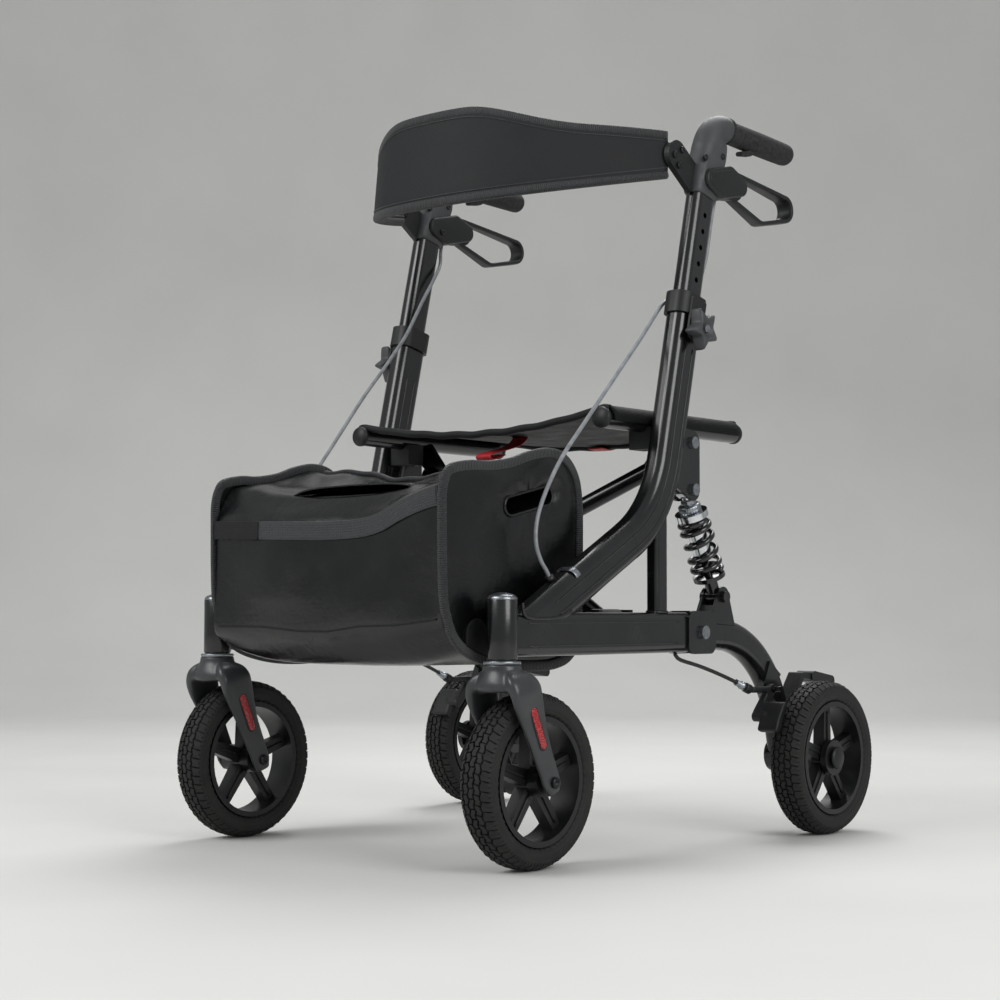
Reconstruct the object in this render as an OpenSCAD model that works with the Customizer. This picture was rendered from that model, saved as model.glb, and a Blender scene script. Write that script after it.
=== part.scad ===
// All terrain rollator: two folding side frames, sprung rear wheels, seat, bag and backrest.
// Millimetres. +Z is up, the front is towards -Y, the user's left is +X.
// The origin is on the floor, midway between the four wheels.

/* [Layout] */
// Half the distance between the planes of the two side frames
frame_x = 240; // [230:1:255]
// Distance of the rear wheels' middles outside the frame planes
rear_offset = 63; // [60:1:72]
// Distance between the front and the rear axle, forks pointing straight ahead
wheel_base = 528; // [520:1:545]
// Distance of the front axle behind the steering axis
caster_trail = 47; // [42:1:52]

/* [Wheels] */
// Outside diameter of every tyre
wheel_d = 200; // [196:1:202]
// Width of every tyre
tyre_w = 45; // [41:1:46]
// Diameter at which the tyre sits on the rim
rim_seat_d = 142; // [134:1:146]
// Width of the rim
rim_w = 39; // [36:1:40]
// Thickness of the rim's band
rim_wall = 4; // [3:0.5:6]
// Diameter of the wheel hubs
hub_d = 34; // [30:1:40]
// Number of spokes in a rim
spoke_count = 5; // [4:1:7]
// Width of a spoke
spoke_w = 14; // [10:1:18]
// Thickness of a spoke along the axle
spoke_t = 16; // [12:1:20]
// Diameter of the axles
axle_d = 10; // [8:1:12]

/* [Side frame] */
// Depth of the main tube, fore and aft
tube_depth = 48; // [44:1:50]
// Width of the main and lower tubes
tube_w = 30; // [29:1:34]
// Corner radius of the main tube
tube_corner = 12; // [8:1:14]
// Wall of the tubes
tube_wall = 2; // [1.5:0.25:2.5]
// Height of the lower tube's section
lower_h = 50; // [46:1:54]
// Corner radius of the lower tube
lower_corner = 10; // [6:1:13]
// Height of the lower tube's middle above the floor
lower_z = 265; // [262:1:272]
// Outside diameter of the head tube
head_d = 32; // [31:0.5:36]
// Height of the head tube's lower end
head_low_z = 236; // [234:1:240]
// Length of the head tube without its domed cap
head_len = 68; // [60:1:76]
// Lean of the handle post from upright, in degrees
post_lean = 13; // [11:0.5:15]
// Slope of the main tube's front part, in degrees
down_slope = 28.5; // [27:0.5:30]
// Bend radius of the main tube's middle line
bend_r = 155; // [140:1:170]
// Fore and aft place of the corner that the main tube's bend rounds off
bend_y = -18; // [-24:1:-12]
// Height of the main tube's top end
tube_top_z = 684; // [675:1:695]
// Fore and aft place of the strut between lower and main tube
strut_y = -18; // [-24:1:-12]
// Depth of the strut
strut_depth = 25; // [20:1:28]
// Width of the strut
strut_w = 18; // [14:1:22]

/* [Handle] */
// Depth of the handle post
post_depth = 42; // [38:1:43]
// Width of the handle post
post_w = 24; // [22:1:25]
// Length of post inside the main tube at rest
post_insert = 105; // [100:1:110]
// Distance from the main tube's top up to the handle body
handle_gap = 142; // [135:1:150]
// Distance from the main tube's top to the corner of the handle
handle_reach = 244; // [238:1:252]
// Wall of the handle body round the post
handle_wall = 3.5; // [3:0.5:5]
// Diameter of the handle's elbow
elbow_d = 36; // [32:1:38]
// Bend radius of the elbow's middle line
elbow_r = 40; // [34:1:46]
// Downward slope of the grip, in degrees
grip_drop = 2; // [0:0.5:5]
// Diameter of the grip
grip_d = 30; // [28:0.5:34]
// Length of the grip
grip_len = 152; // [120:1:160]
// Diameter of the bar inside the grip
grip_core_d = 22; // [18:0.5:24]
// Thickness of the brake lever
lever_t = 14; // [10:1:16]
// Length of the brake lever from its pivot to its tip
lever_len = 147; // [135:1:160]
// Diameter of the brake lever's pivot pin
lever_pin_d = 6; // [5:0.5:8]

/* [Collar and knob] */
// Wall of the height collar round the main tube
collar_wall = 4; // [3:0.5:6]
// Length of the height collar on the tube
collar_len = 22; // [18:1:28]
// Thickness of the collar's lip above the tube
collar_lip = 6; // [4:1:9]
// Distance of the clamp screw below the main tube's top
knob_drop = 40; // [37:1:44]
// Diameter of the star knob over its lobes
knob_d = 54; // [46:1:58]
// Thickness of the star knob
knob_t = 16; // [12:1:20]
// Diameter of the clamp screw
screw_d = 8; // [6:1:10]

/* [Fork] */
// Overall width of the fork
fork_w = 74; // [72:1:80]
// Gap between tyre and fork
fork_gap = 3; // [2:0.5:4]
// Height of the fork's crown below the head tube
crown_drop = 4; // [2:0.5:6]
// Diameter of the fork's stem
stem_d = 16; // [12:1:18]

/* [Seat and cross brace] */
// Height of the seat rails' middle
seat_z = 528; // [520:1:536]
// Distance of the rails and lower hinges from the frame planes
rail_inset = 32.5; // [31:0.5:35]
// Diameter of the seat rails
rail_d = 25; // [22:0.5:26]
// Front end of the seat rails
rail_front_y = -87; // [-95:1:-80]
// Length of the seat rails
rail_len = 287; // [270:1:300]
// Height of the cross tubes' lower hinges
hinge_z = 280; // [276:1:284]
// Height of the cross tubes' middle pin
cross_z = 385; // [380:1:392]
// Diameter of the cross tubes
cross_d = 22; // [18:1:24]
// Fore and aft place of the left lower hinge
hinge_y = -84; // [-86:1:-80]
// Fore and aft place of the right rail's gusset
gusset_y = 40; // [36:1:44]
// Fore and aft distance between the two cross tubes
cross_step = 28; // [27:0.5:30]
// Length of a hinge barrel
barrel_len = 54; // [48:1:56]
// Diameter of the hinge pins
hinge_pin_d = 12; // [10:1:13]
// Diameter of the middle pin
centre_pin_d = 10; // [8:1:12]
// Thickness of the seat's fabric
sling_t = 3.5; // [2:0.5:3.5]
// Depth of the seat's sag
sling_sag = 19.5; // [12:0.5:26]

/* [Suspension] */
// Swing-arm pivot behind the origin
pivot_y = 55; // [52:1:58]
// Depth of the swing arm's tube
arm_depth = 40; // [36:1:42]
// Width of the swing arm's tube
arm_w = 26; // [22:1:27]
// Bend radius of the swing arm's middle line
arm_r = 150; // [148:1:152]
// Distance from the swing arm's pivot to the corner that its two straight parts would make
arm_reach = 172.4; // [170:0.2:175]
// Downward slope of the swing arm's straight part, in degrees
arm_drop = 3; // [2:0.5:4]
// Distance of the shock's upper eye behind the end of the main tube's bend
eye_back = 44; // [42:1:48]
// Distance of the shock's upper eye below the end of the main tube's bend
eye_down = 34; // [30:1:38]
// Distance of the shock's lower eye behind the swing-arm pivot
low_eye_back = 53; // [50:1:56]
// Height of the shock's lower eye above the swing-arm pivot
low_eye_up = 45; // [44:1:48]
// Outside diameter of the coil spring
spring_d = 44; // [38:1:46]
// Wire diameter of the coil spring
wire_d = 7; // [5:0.5:8]
// Number of curls in the coil spring
spring_turns = 5.5; // [4.5:0.5:6.5]
// Diameter of the chrome damper
damper_d = 24; // [18:1:26]
// Diameter of the shock's bolts
shock_bolt_d = 8; // [6:1:9]
// Width of the shock's eyes
eye_w = 18; // [14:1:18]
// Thickness of the bracket plates
plate_t = 4; // [3:0.5:5]
// Width of the kerb pedal
pedal_w = 22; // [18:1:26]
// Gap between brake shoe and tyre
brake_gap = 2.6; // [2.6:0.1:4]

/* [Bag] */
// Gap between the bag and the side frames
bag_gap = 25; // [22:1:35]
// Front face of the bag
bag_front_y = -358; // [-360:1:-350]
// Depth of the bag
bag_depth = 234; // [220:1:236]
// Height of the bag's bottom seam
bag_low_z = 262; // [258:1:268]
// Sag of the bag's bottom below its seam
bag_sag = 34; // [20:1:34]
// Height of the bag's front edge above the seam
bag_front_h = 170; // [150:1:180]
// Height of the lid's peak above the seam
bag_peak_h = 216; // [200:1:220]
// Wall of the bag
bag_wall = 4; // [3:0.5:5]

/* [Backrest] */
// Height of the band's top edge in the middle
band_top_z = 920; // [905:1:930]
// Height of the band in the middle
band_h = 116; // [100:1:125]
// Height of the band at its ends
band_end_h = 60; // [50:1:66]
// How far the band bows forward of its ends
band_bow = 192; // [150:1:200]
// Thickness of the band
band_t = 9; // [6:0.5:11]

/* [Fits] */
// Radial clearance of pins and shafts that turn
run_gap = 0.05; // [0.02:0.01:0.1]
// Clearance between fixed pieces that meet
seat_gap = 0.05; // [0.02:0.01:0.1]
// Clearance between moving pieces and between soft and hard pieces
free_gap = 0.4; // [0.3:0.05:0.6]

/* [Hidden] */
$fn = 64;
tiny = 0.01;
past = 2;
// Bends are a hair fuller than the runs they lap over
lap = 1;
full = 0.15;

// Colours
frame_black = "#17181a";
plastic_black = "#232426";
rubber_black = "#1c1c1c";
chrome = "#c8ccd0";
steel = "#6f7276";
red = "#c4161c";
fabric_black = "#1e1f21";
cable_grey = "#8f9296";

// Points in the side plane are [y, z]; headings are degrees up from straight back.
function heading(a) = [cos(a), sin(a)];
function unit(v) = v / norm(v);

// Wheels
wheel_r = wheel_d / 2;
rear_track_x = frame_x + rear_offset;
front_axle = [-wheel_base / 2, wheel_r];
rear_axle_at = [wheel_base / 2, wheel_r];
head_y = front_axle[0] - caster_trail;
rim_seat_r = rim_seat_d / 2;

// Main tube: a sloping part, a bend, and a leaning upper part
post_heading = 90 - post_lean;
foot_back = 26;
foot = [head_y + foot_back, lower_z];
bend_turn = post_heading - down_slope;
bend_tangent = bend_r * tan(bend_turn / 2);
corner = foot + (bend_y - foot[0]) / cos(down_slope) * heading(down_slope);
bend_start = corner - bend_tangent * heading(down_slope);
bend_end = corner + bend_tangent * heading(post_heading);
bend_centre = bend_start + bend_r * heading(down_slope + 90);
low_run = norm(bend_start - foot);
up_run = (tube_top_z - bend_end[1]) / sin(post_heading);
tube_top = bend_end + up_run * heading(post_heading);
function post_y(z) = corner[0] + (z - corner[1]) * tan(post_lean);

// Lower tube and its rear end
lower_top_z = lower_z + lower_h / 2;
pivot = [pivot_y, lower_z];
barrel_d = 34;
cheek_reach = 29;
lower_end_y = pivot_y - barrel_d / 2 - 5;
cheek_front_y = lower_end_y - 8;

// Seat rails and cross tubes
rail_x = frame_x - rail_inset;
bar_end_z = 2 * cross_z - hinge_z;
hinge_barrel_d = hinge_pin_d + 16;
lug_t = 6;
gusset_t = 8;

// Shock, measured along its axis from the upper eye to the lower eye
eye_top = bend_end + [eye_back, -eye_down];
eye_low = pivot + [low_eye_back, low_eye_up];
shock_len = norm(eye_low - eye_top);
shock_heading = atan2(eye_low[1] - eye_top[1], eye_low[0] - eye_top[0]);
seat_top_s = 38;
seat_low_s = shock_len - 33;
seat_flange_t = 8;
saddle_bolt_at = bend_end + [eye_back - 2, 25];

// Swing arm: straight, bend, then straight down to the axle
arm_corner = pivot + arm_reach * heading(-arm_drop);
arm_exit = atan2(rear_axle_at[1] - arm_corner[1], rear_axle_at[0] - arm_corner[0]);
arm_turn = -arm_drop - arm_exit;
arm_straight = arm_reach - arm_r * tan(arm_turn / 2);
arm_start = pivot + arm_straight * heading(-arm_drop);
arm_centre = arm_start + arm_r * heading(-arm_drop - 90);
arm_end_angle = arm_exit + 90;
arm_end = arm_centre + arm_r * heading(arm_end_angle);
tail_run = norm(rear_axle_at - arm_end);
hub_in_x = rear_track_x - tyre_w / 2 - 4.5;
hub_out_x = rear_track_x + tyre_w / 2 - 3.5;

// Brake shoe: a pivot under the swing arm and a pad in front of the tyre
shoe_pivot = rear_axle_at + [-59, 90];
shoe_angle = 149;
shoe_sweep = 22;
shoe_t = 10;
shoe_pin_d = 8;
shoe_in_x = hub_in_x - 14;

// Handle
grip_heading = -grip_drop;
handle_corner = tube_top + handle_reach * heading(post_heading);
elbow_turn = post_heading - grip_heading;
elbow_tangent = elbow_r * tan(elbow_turn / 2);
elbow_start_s = handle_reach - elbow_tangent;
elbow_end = handle_corner + elbow_tangent * heading(grip_heading);
elbow_centre = elbow_end + elbow_r * heading(grip_heading - 90);
sleeve_depth = post_depth + 2 * handle_wall;
sleeve_w = post_w + 2 * handle_wall;
post_corner = post_w / 2 - 1;
sleeve_corner = sleeve_w / 2 - 1;
post_top_s = handle_gap + 40;
sleeve_mid = tube_top + (handle_gap + 26) * heading(post_heading);
lever_pivot = sleeve_mid + [50, 0];
lever_root_r = 20;
lever_tip_r = 15;
lever_belly_r = 27;
housing_w = sleeve_w - 2;

// Backrest band
band_end_x = frame_x - 8.4;
band_end_y = post_y(tube_top_z) - 30;
band_rings = 44;
band_sides = 12;

// Sizes of bolt heads
head_extra = 7;
head_t = 5;

// Placing
module right() { mirror([1, 0, 0]) children(); }

module at_frame() { translate([frame_x, 0, 0]) children(); }

// A flat drawing in [y, z] is carried along X
module side_plane() { rotate([90, 0, 90]) children(); }

module slab(x_from, x_to) { translate([x_from, 0, 0]) side_plane() linear_extrude(x_to - x_from) children(); }

// A pin along X through a point of the side plane
module cross_pin(p, d, x_from, x_to) {
    translate([x_from, p[0], p[1]]) rotate([0, 90, 0]) cylinder(d = d, h = x_to - x_from);
}

// A plate on one side (s = 1 or -1) of a side frame's plane, its outer face at a distance from it
module side_plate(s, outer, t) {
    at_frame() slab(s > 0 ? outer - t : -outer, s > 0 ? outer : t - outer) children();
}

// A straight run of a section whose first axis lies in the side plane
module run_from(p, angle, length) {
    translate([0, p[0], p[1]]) rotate([angle - 90, 0, 0]) linear_extrude(length) rotate(90) children();
}

// A bend of a section about a centre in the side plane, lapping a little over the runs it joins
module bend_about(centre, radius, from, sweep) {
    translate([0, centre[0], centre[1]]) side_plane() rotate(from - lap)
        rotate_extrude(angle = sweep + 2 * lap) translate([radius, 0]) children();
}

// The frame of the handle post: Z runs up the post from the main tube's top
module post_frame() { translate([frame_x, tube_top[0], tube_top[1]]) rotate([-post_lean, 0, 0]) children(); }

module rounded(w, h, r) {
    square([w - 2 * r, h], center = true);
    square([w, h - 2 * r], center = true);
    for (sx = [-1, 1], sy = [-1, 1]) translate([sx * (w / 2 - r), sy * (h / 2 - r)]) circle(r);
}

module capsule(a, b, r) { hull() { translate(a) circle(r, $fn = 32); translate(b) circle(r, $fn = 32); } }

// Swept tubes: one ring of points about each path point
function smooth_at(p, i, t) = let (
    n = len(p) - 1,
    a = p[max(i - 1, 0)],
    b = p[i],
    c = p[min(i + 1, n)],
    d = p[min(i + 2, n)])
    0.5 * (2 * b + (c - a) * t + (2 * a - 5 * b + 4 * c - d) * t * t + (3 * b - a - 3 * c + d) * t * t * t);

function smooth_path(p, steps) = concat(
    [for (i = [0 : len(p) - 2], k = [0 : steps - 1]) smooth_at(p, i, k / steps)], [p[len(p) - 1]]);

function tangent_at(p, i) = unit(p[min(i + 1, len(p) - 1)] - p[max(i - 1, 0)]);

function ring_at(c, along, side, r, n) = let (
    u = unit(cross(along, side)),
    v = cross(along, u))
    [for (k = [0 : n - 1]) c + r * (cos(360 * k / n) * u + sin(360 * k / n) * v)];

function skin_faces(rings, n) = concat(
    [[for (k = [0 : n - 1]) n - 1 - k]],
    [for (i = [0 : rings - 2], k = [0 : n - 1]) [i * n + k, i * n + (k + 1) % n, (i + 1) * n + (k + 1) % n]],
    [for (i = [0 : rings - 2], k = [0 : n - 1]) [i * n + k, (i + 1) * n + (k + 1) % n, (i + 1) * n + k]],
    [[for (k = [0 : n - 1]) (rings - 1) * n + k]]);

module swept(path, d, n) {
    points = [for (i = [0 : len(path) - 1]) each ring_at(path[i], tangent_at(path, i), [1, 0, 0], d / 2, n)];
    polyhedron(points, skin_faces(len(path), n));
}

// Side frame

module main_section(grow) { rounded(tube_depth + 2 * grow, tube_w + 2 * grow, tube_corner + grow); }

module main_path(grow) {
    at_frame() {
        run_from(foot, down_slope, low_run) main_section(grow);
        bend_about(bend_centre, bend_r, down_slope - 90, bend_turn) main_section(grow + full);
        run_from(bend_end, post_heading, up_run) main_section(grow);
    }
}

module head_shape(grow) {
    translate([frame_x, head_y, head_low_z - grow]) cylinder(d = head_d + 2 * grow, h = head_len + 2 * grow);
}

module lower_shape(grow) {
    translate([frame_x, head_y, lower_z]) rotate([-90, 0, 0]) linear_extrude(lower_end_y - head_y)
        rounded(tube_w + 2 * grow, lower_h + 2 * grow, lower_corner + grow);
}

plate_in = eye_w / 2 + free_gap;
plate_out = plate_in + plate_t;

module shock_plate() {
    lobe = 14;
    polygon([bend_end + [0, -30], bend_end + [6, 45], saddle_bolt_at + [0, lobe + 2],
        saddle_bolt_at + [lobe + 2, 0], eye_top + [lobe, 0], eye_top + [0, -lobe]]);
    translate(saddle_bolt_at) circle(lobe + 2);
    translate(eye_top) circle(lobe);
}

module main_tube() {
    entry = cable_points[len(cable_points) - 1];
    color(frame_black) difference() {
        union() {
            difference() {
                main_path(0);
                main_path(-tube_wall);
                lower_shape(seat_gap);
            }
            for (s = [-1, 1]) difference() {
                side_plate(s, plate_out, plate_t) shock_plate();
                main_path(-tube_wall / 2);
            }
        }
        for (p = [eye_top, saddle_bolt_at])
            cross_pin(p, shock_bolt_d + 2 * run_gap, frame_x - 2 * plate_out, frame_x + 2 * plate_out);
        post_frame() translate([0, 0, -knob_drop]) rotate([0, 90, 0]) cylinder(d = screw_d + 2, h = tube_w);
        translate(entry) rotate([down_slope, 0, 0]) translate([0, 0, -tube_wall * 8])
            cylinder(d = cable_d + 2, h = tube_wall * 12);
    }
}

module hinge_lugs(y) {
    for (s = [-1, 1]) translate([0, y + s * (barrel_len / 2 + free_gap + lug_t / 2), 0])
        rotate([90, 0, 0]) linear_extrude(lug_t, center = true) {
            translate([rail_x, hinge_z]) circle(d = hinge_barrel_d - 2);
            translate([rail_x, hinge_z - (hinge_barrel_d - 2) / 2])
                square([rail_inset - tube_w / 2 + tube_wall, hinge_barrel_d - 2]);
        }
}

module cheeks() {
    for (s = [-1, 1]) side_plate(s, tube_w / 2 + plate_t - 1, plate_t)
        translate([(cheek_front_y + pivot_y + cheek_reach) / 2, lower_z])
            rounded(pivot_y + cheek_reach - cheek_front_y, lower_h + 4, 12);
}

module strut() {
    difference() {
        translate([frame_x, strut_y, lower_z]) linear_extrude(corner[1] + 14 - lower_z)
            difference() {
                rounded(strut_w, strut_depth, strut_w / 3);
                rounded(strut_w - 2 * tube_wall, strut_depth - 2 * tube_wall, strut_w / 3 - tube_wall);
            }
        lower_shape(-tube_wall / 2);
        main_path(seat_gap);
    }
}

module lower_tube(y) {
    dome_r = 22;
    cap_h = 4;
    color(frame_black) difference() {
        union() {
            difference() {
                lower_shape(0);
                lower_shape(-tube_wall);
            }
            head_shape(0);
            translate([frame_x, head_y, head_low_z + head_len]) intersection() {
                translate([0, 0, cap_h - dome_r]) sphere(dome_r);
                cylinder(d = head_d, h = cap_h);
            }
            cheeks();
            hinge_lugs(y);
            strut();
        }
        translate([frame_x, head_y, head_low_z - past])
            cylinder(d = stem_d + 2 * run_gap, h = head_len - 6 + past);
        cross_pin(pivot, axle_d + 2 * run_gap, frame_x - tube_w, frame_x + tube_w);
        translate([rail_x, y - barrel_len, hinge_z]) rotate([-90, 0, 0])
            cylinder(d = hinge_pin_d + 2 * run_gap, h = 2 * barrel_len);
    }
}

module height_collar() {
    d = tube_depth + 2 * collar_wall;
    w = tube_w + 2 * collar_wall;
    tab_w = 30;
    color(plastic_black) post_frame() difference() {
        union() {
            translate([0, 0, -collar_len]) linear_extrude(collar_len + collar_lip)
                rounded(w, d, tube_corner + collar_wall);
            translate([tube_w / 2 + collar_wall - tiny, 0, 0]) rotate([0, 90, 0]) linear_extrude(3) {
                translate([knob_drop, 0]) circle(d = tab_w);
                translate([0, -tab_w / 2]) square([knob_drop, tab_w]);
            }
            translate([tube_w / 2 + seat_gap, 0, 0]) rotate([0, 90, 0]) linear_extrude(collar_wall) {
                translate([knob_drop, 0]) circle(d = tab_w - 8);
                translate([0, 4 - tab_w / 2]) square([knob_drop, tab_w - 8]);
            }
        }
        translate([0, 0, -collar_len - past]) linear_extrude(collar_len + past + seat_gap)
            rounded(tube_w + 2 * seat_gap, tube_depth + 2 * seat_gap, tube_corner + seat_gap);
        translate([0, 0, -past]) linear_extrude(collar_lip + 2 * past)
            rounded(post_w + 2 * run_gap, post_depth + 2 * run_gap, post_corner + run_gap);
        translate([0, 0, -knob_drop]) rotate([0, 90, 0]) cylinder(d = screw_d + 2 * run_gap, h = tube_w);
    }
}

knob_in = tube_w / 2 + collar_wall + 3 + free_gap;

module star_knob() {
    lobes = 5;
    lobe_r = 8;
    color(plastic_black) post_frame() translate([0, 0, -knob_drop]) rotate([0, 90, 0]) {
        translate([0, 0, knob_in]) linear_extrude(knob_t) {
            circle(knob_d / 2 - lobe_r);
            for (i = [0 : lobes - 1]) rotate(360 * i / lobes + 18) {
                translate([knob_d / 2 - lobe_r, 0]) circle(lobe_r);
                translate([0, -lobe_r + 1]) square([knob_d / 2 - lobe_r, 2 * lobe_r - 2]);
            }
        }
        translate([0, 0, post_w / 2 + free_gap]) cylinder(d = screw_d, h = knob_in);
        translate([0, 0, knob_in + knob_t - tiny]) cylinder(d = knob_d / 3, h = 3);
    }
}

module rail_saddle() {
    w = 30;
    low = 34;
    rise = 6;
    y = post_y(seat_z - low / 2);
    color(plastic_black) difference() {
        translate([rail_x - rail_d / 2 - 4, y - w / 2, seat_z - low])
            cube([rail_inset + rail_d / 2 + 4 - tube_w / 2 - seat_gap, w, low - rise]);
        translate([rail_x, y - w, seat_z]) rotate([-90, 0, 0]) cylinder(d = rail_d + 2 * free_gap, h = 2 * w);
    }
}

// A bolt along X with a round head at each end
module bolt_x(p, d, half) {
    cross_pin(p, d, frame_x - half - tiny, frame_x + half + tiny);
    for (s = [-1, 1]) cross_pin(p, d + head_extra, frame_x + s * (half + head_t / 2) - head_t / 2,
        frame_x + s * (half + head_t / 2) + head_t / 2);
}

module frame_bolts(y) {
    reach = barrel_len / 2 + free_gap + lug_t + seat_gap;
    color(steel) {
        bolt_x(pivot, axle_d, tube_w / 2 + plate_t - 1 + seat_gap);
        bolt_x(eye_top, shock_bolt_d, plate_out + seat_gap);
        bolt_x(saddle_bolt_at, shock_bolt_d, plate_out + seat_gap);
        translate([rail_x, y - reach - tiny, hinge_z]) rotate([-90, 0, 0])
            cylinder(d = hinge_pin_d, h = 2 * reach + 2 * tiny);
        for (s = [-1, 1]) translate([rail_x, y + s * (reach + head_t / 2), hinge_z]) rotate([-90, 0, 0])
            cylinder(d = hinge_pin_d + head_extra, h = head_t, center = true);
    }
}

// Handle

module handle_post() {
    hole_count = 5;
    hole_step = 22;
    hole_d = 7;
    color(frame_black) post_frame() difference() {
        translate([0, 0, -post_insert]) linear_extrude(post_insert + post_top_s)
            difference() {
                rounded(post_w, post_depth, post_corner);
                rounded(post_w - 2 * tube_wall, post_depth - 2 * tube_wall, post_corner - tube_wall);
            }
        for (i = [0 : hole_count - 1]) translate([0, 0, 28 + i * hole_step]) rotate([0, 90, 0])
            cylinder(d = hole_d, h = post_w);
    }
}

module sleeve_shape(grow, below) {
    post_frame() translate([0, 0, handle_gap - below]) linear_extrude(post_top_s - handle_gap + below)
        rounded(sleeve_w + 2 * grow, sleeve_depth + 2 * grow, sleeve_corner + grow);
}

module handle_body() {
    slice = 0.5;
    color(plastic_black) difference() {
        union() {
            sleeve_shape(0, 0);
            post_frame() hull() {
                translate([0, 0, post_top_s]) linear_extrude(slice)
                    rounded(sleeve_w, sleeve_depth, sleeve_corner, $fn = 32);
                translate([0, 0, elbow_start_s + 2]) cylinder(d = elbow_d - 2, h = slice, $fn = 32);
            }
            at_frame() bend_about(elbow_centre, elbow_r, grip_heading + 90, elbow_turn)
                circle(d = elbow_d + 2 * full);
            at_frame() run_from(elbow_end - 6 * heading(grip_heading), grip_heading, grip_len - 2)
                circle(d = grip_core_d);
            slab(frame_x - housing_w / 2, frame_x + housing_w / 2)
                capsule(sleeve_mid, lever_pivot + [-4, 0], lever_root_r - 3);
        }
        post_frame() translate([0, 0, handle_gap - past])
            linear_extrude(post_top_s - handle_gap + past + seat_gap)
                rounded(post_w + 2 * seat_gap, post_depth + 2 * seat_gap, post_corner + seat_gap);
        cross_pin(lever_pivot, 2 * (lever_root_r + free_gap), frame_x - lever_t / 2 - free_gap,
            frame_x + lever_t / 2 + free_gap);
    }
    color(steel)
        cross_pin(lever_pivot, lever_pin_d, frame_x - housing_w / 2 + 1, frame_x + housing_w / 2 - 1);
}

module grip() {
    flange_r = grip_d / 2 + 3;
    flange_t = 6;
    round_r = 5;
    start = (elbow_r + elbow_d / 2) * sin(lap) + free_gap;
    end = grip_len;
    color(rubber_black) translate([frame_x, elbow_end[0], elbow_end[1]]) rotate([grip_heading - 90, 0, 0])
        difference() {
            rotate_extrude() {
                translate([0, start]) square([flange_r, flange_t]);
                translate([0, start]) square([grip_d / 2, end + free_gap - round_r - start]);
                translate([0, start]) square([grip_d / 2 - round_r, end + free_gap - start]);
                translate([grip_d / 2 - round_r, end + free_gap - round_r]) circle(round_r);
            }
            translate([0, 0, -past])
                cylinder(d = grip_core_d + 2 * seat_gap, h = grip_len - 8 + past + seat_gap);
        }
}

module brake_lever() {
    tip = lever_pivot + [lever_len - lever_tip_r, -10];
    belly = lever_pivot + [lever_len * 0.53, -16];
    bar = 7;
    color(plastic_black) difference() {
        slab(frame_x - lever_t / 2, frame_x + lever_t / 2) difference() {
            hull() {
                translate(lever_pivot) circle(lever_root_r, $fn = 32);
                translate(belly) circle(lever_belly_r, $fn = 32);
                translate(tip) circle(lever_tip_r, $fn = 32);
            }
            hull() {
                translate(lever_pivot + [lever_root_r + 12, -6]) circle(lever_root_r - bar + 2, $fn = 32);
                translate(belly) circle(lever_belly_r - bar, $fn = 32);
                translate(tip) circle(lever_tip_r - bar, $fn = 32);
            }
        }
        cross_pin(lever_pivot, lever_pin_d + 2 * run_gap, frame_x - lever_t, frame_x + lever_t);
    }
}

module backrest_bracket() {
    t = 8;
    r = 19;
    color(plastic_black) difference() {
        slab(frame_x - t / 2, frame_x + t / 2)
            capsule(sleeve_mid + [-sleeve_depth / 2, -4], [band_end_y + 8, band_top_z - 52], r);
        sleeve_shape(seat_gap, 2 * r + max(0, sleeve_mid[1] - band_top_z + 52));
    }
}

// Brake cables: [x, y, z] chosen along the route, left side
cable_d = 5;
cable_points = [
    [240, 112, 830], [239, 108, 808], [235, 100, 776], [224, 90, 750], [215, 68, 724], [213, 40, 704],
    [214, 12, 678], [218, -20, 642], [222, -60, 602], [225, -104, 560], [227, -150, 514], [228, -190, 472],
    [229, -220, 432], [231, -239, 398], [233, -244, 370], [235, -238, 350], [236, -228, 337],
    [236, -219, 323]];
low_from = [frame_x + 5, lower_end_y - 9, lower_z - 34];
low_to = [frame_x + 22, shoe_pivot[0] - 49, shoe_pivot[1]];
low_cable_points = concat([[frame_x + 4, lower_end_y - 19, lower_z - 27]],
    [for (t = [0 : 0.25 : 1]) low_from + t * (low_to - low_from) + [0, 0, 12 * t * (1 - t)]]);

module upper_cable() { color(cable_grey) swept(smooth_path(cable_points, 2), cable_d, 8); }

module lower_cable() { color(rubber_black) swept(smooth_path(low_cable_points, 2), cable_d, 8); }

// Front caster

fork_top_z = head_low_z - crown_drop;
fork_steps = 12;
function fork_line(t) = let (knee = [head_y, (fork_top_z + wheel_r) / 2 + 22])
    (1 - t) * (1 - t) * [head_y, fork_top_z] + 2 * t * (1 - t) * knee + t * t * front_axle;
function fork_side(t, s) = let (
    step = 0.01,
    d = unit(fork_line(min(t + step, 1)) - fork_line(max(t - step, 0))),
    half = 22 - 9 * t)
    fork_line(t) + s * half * [-d[1], d[0]];

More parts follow.
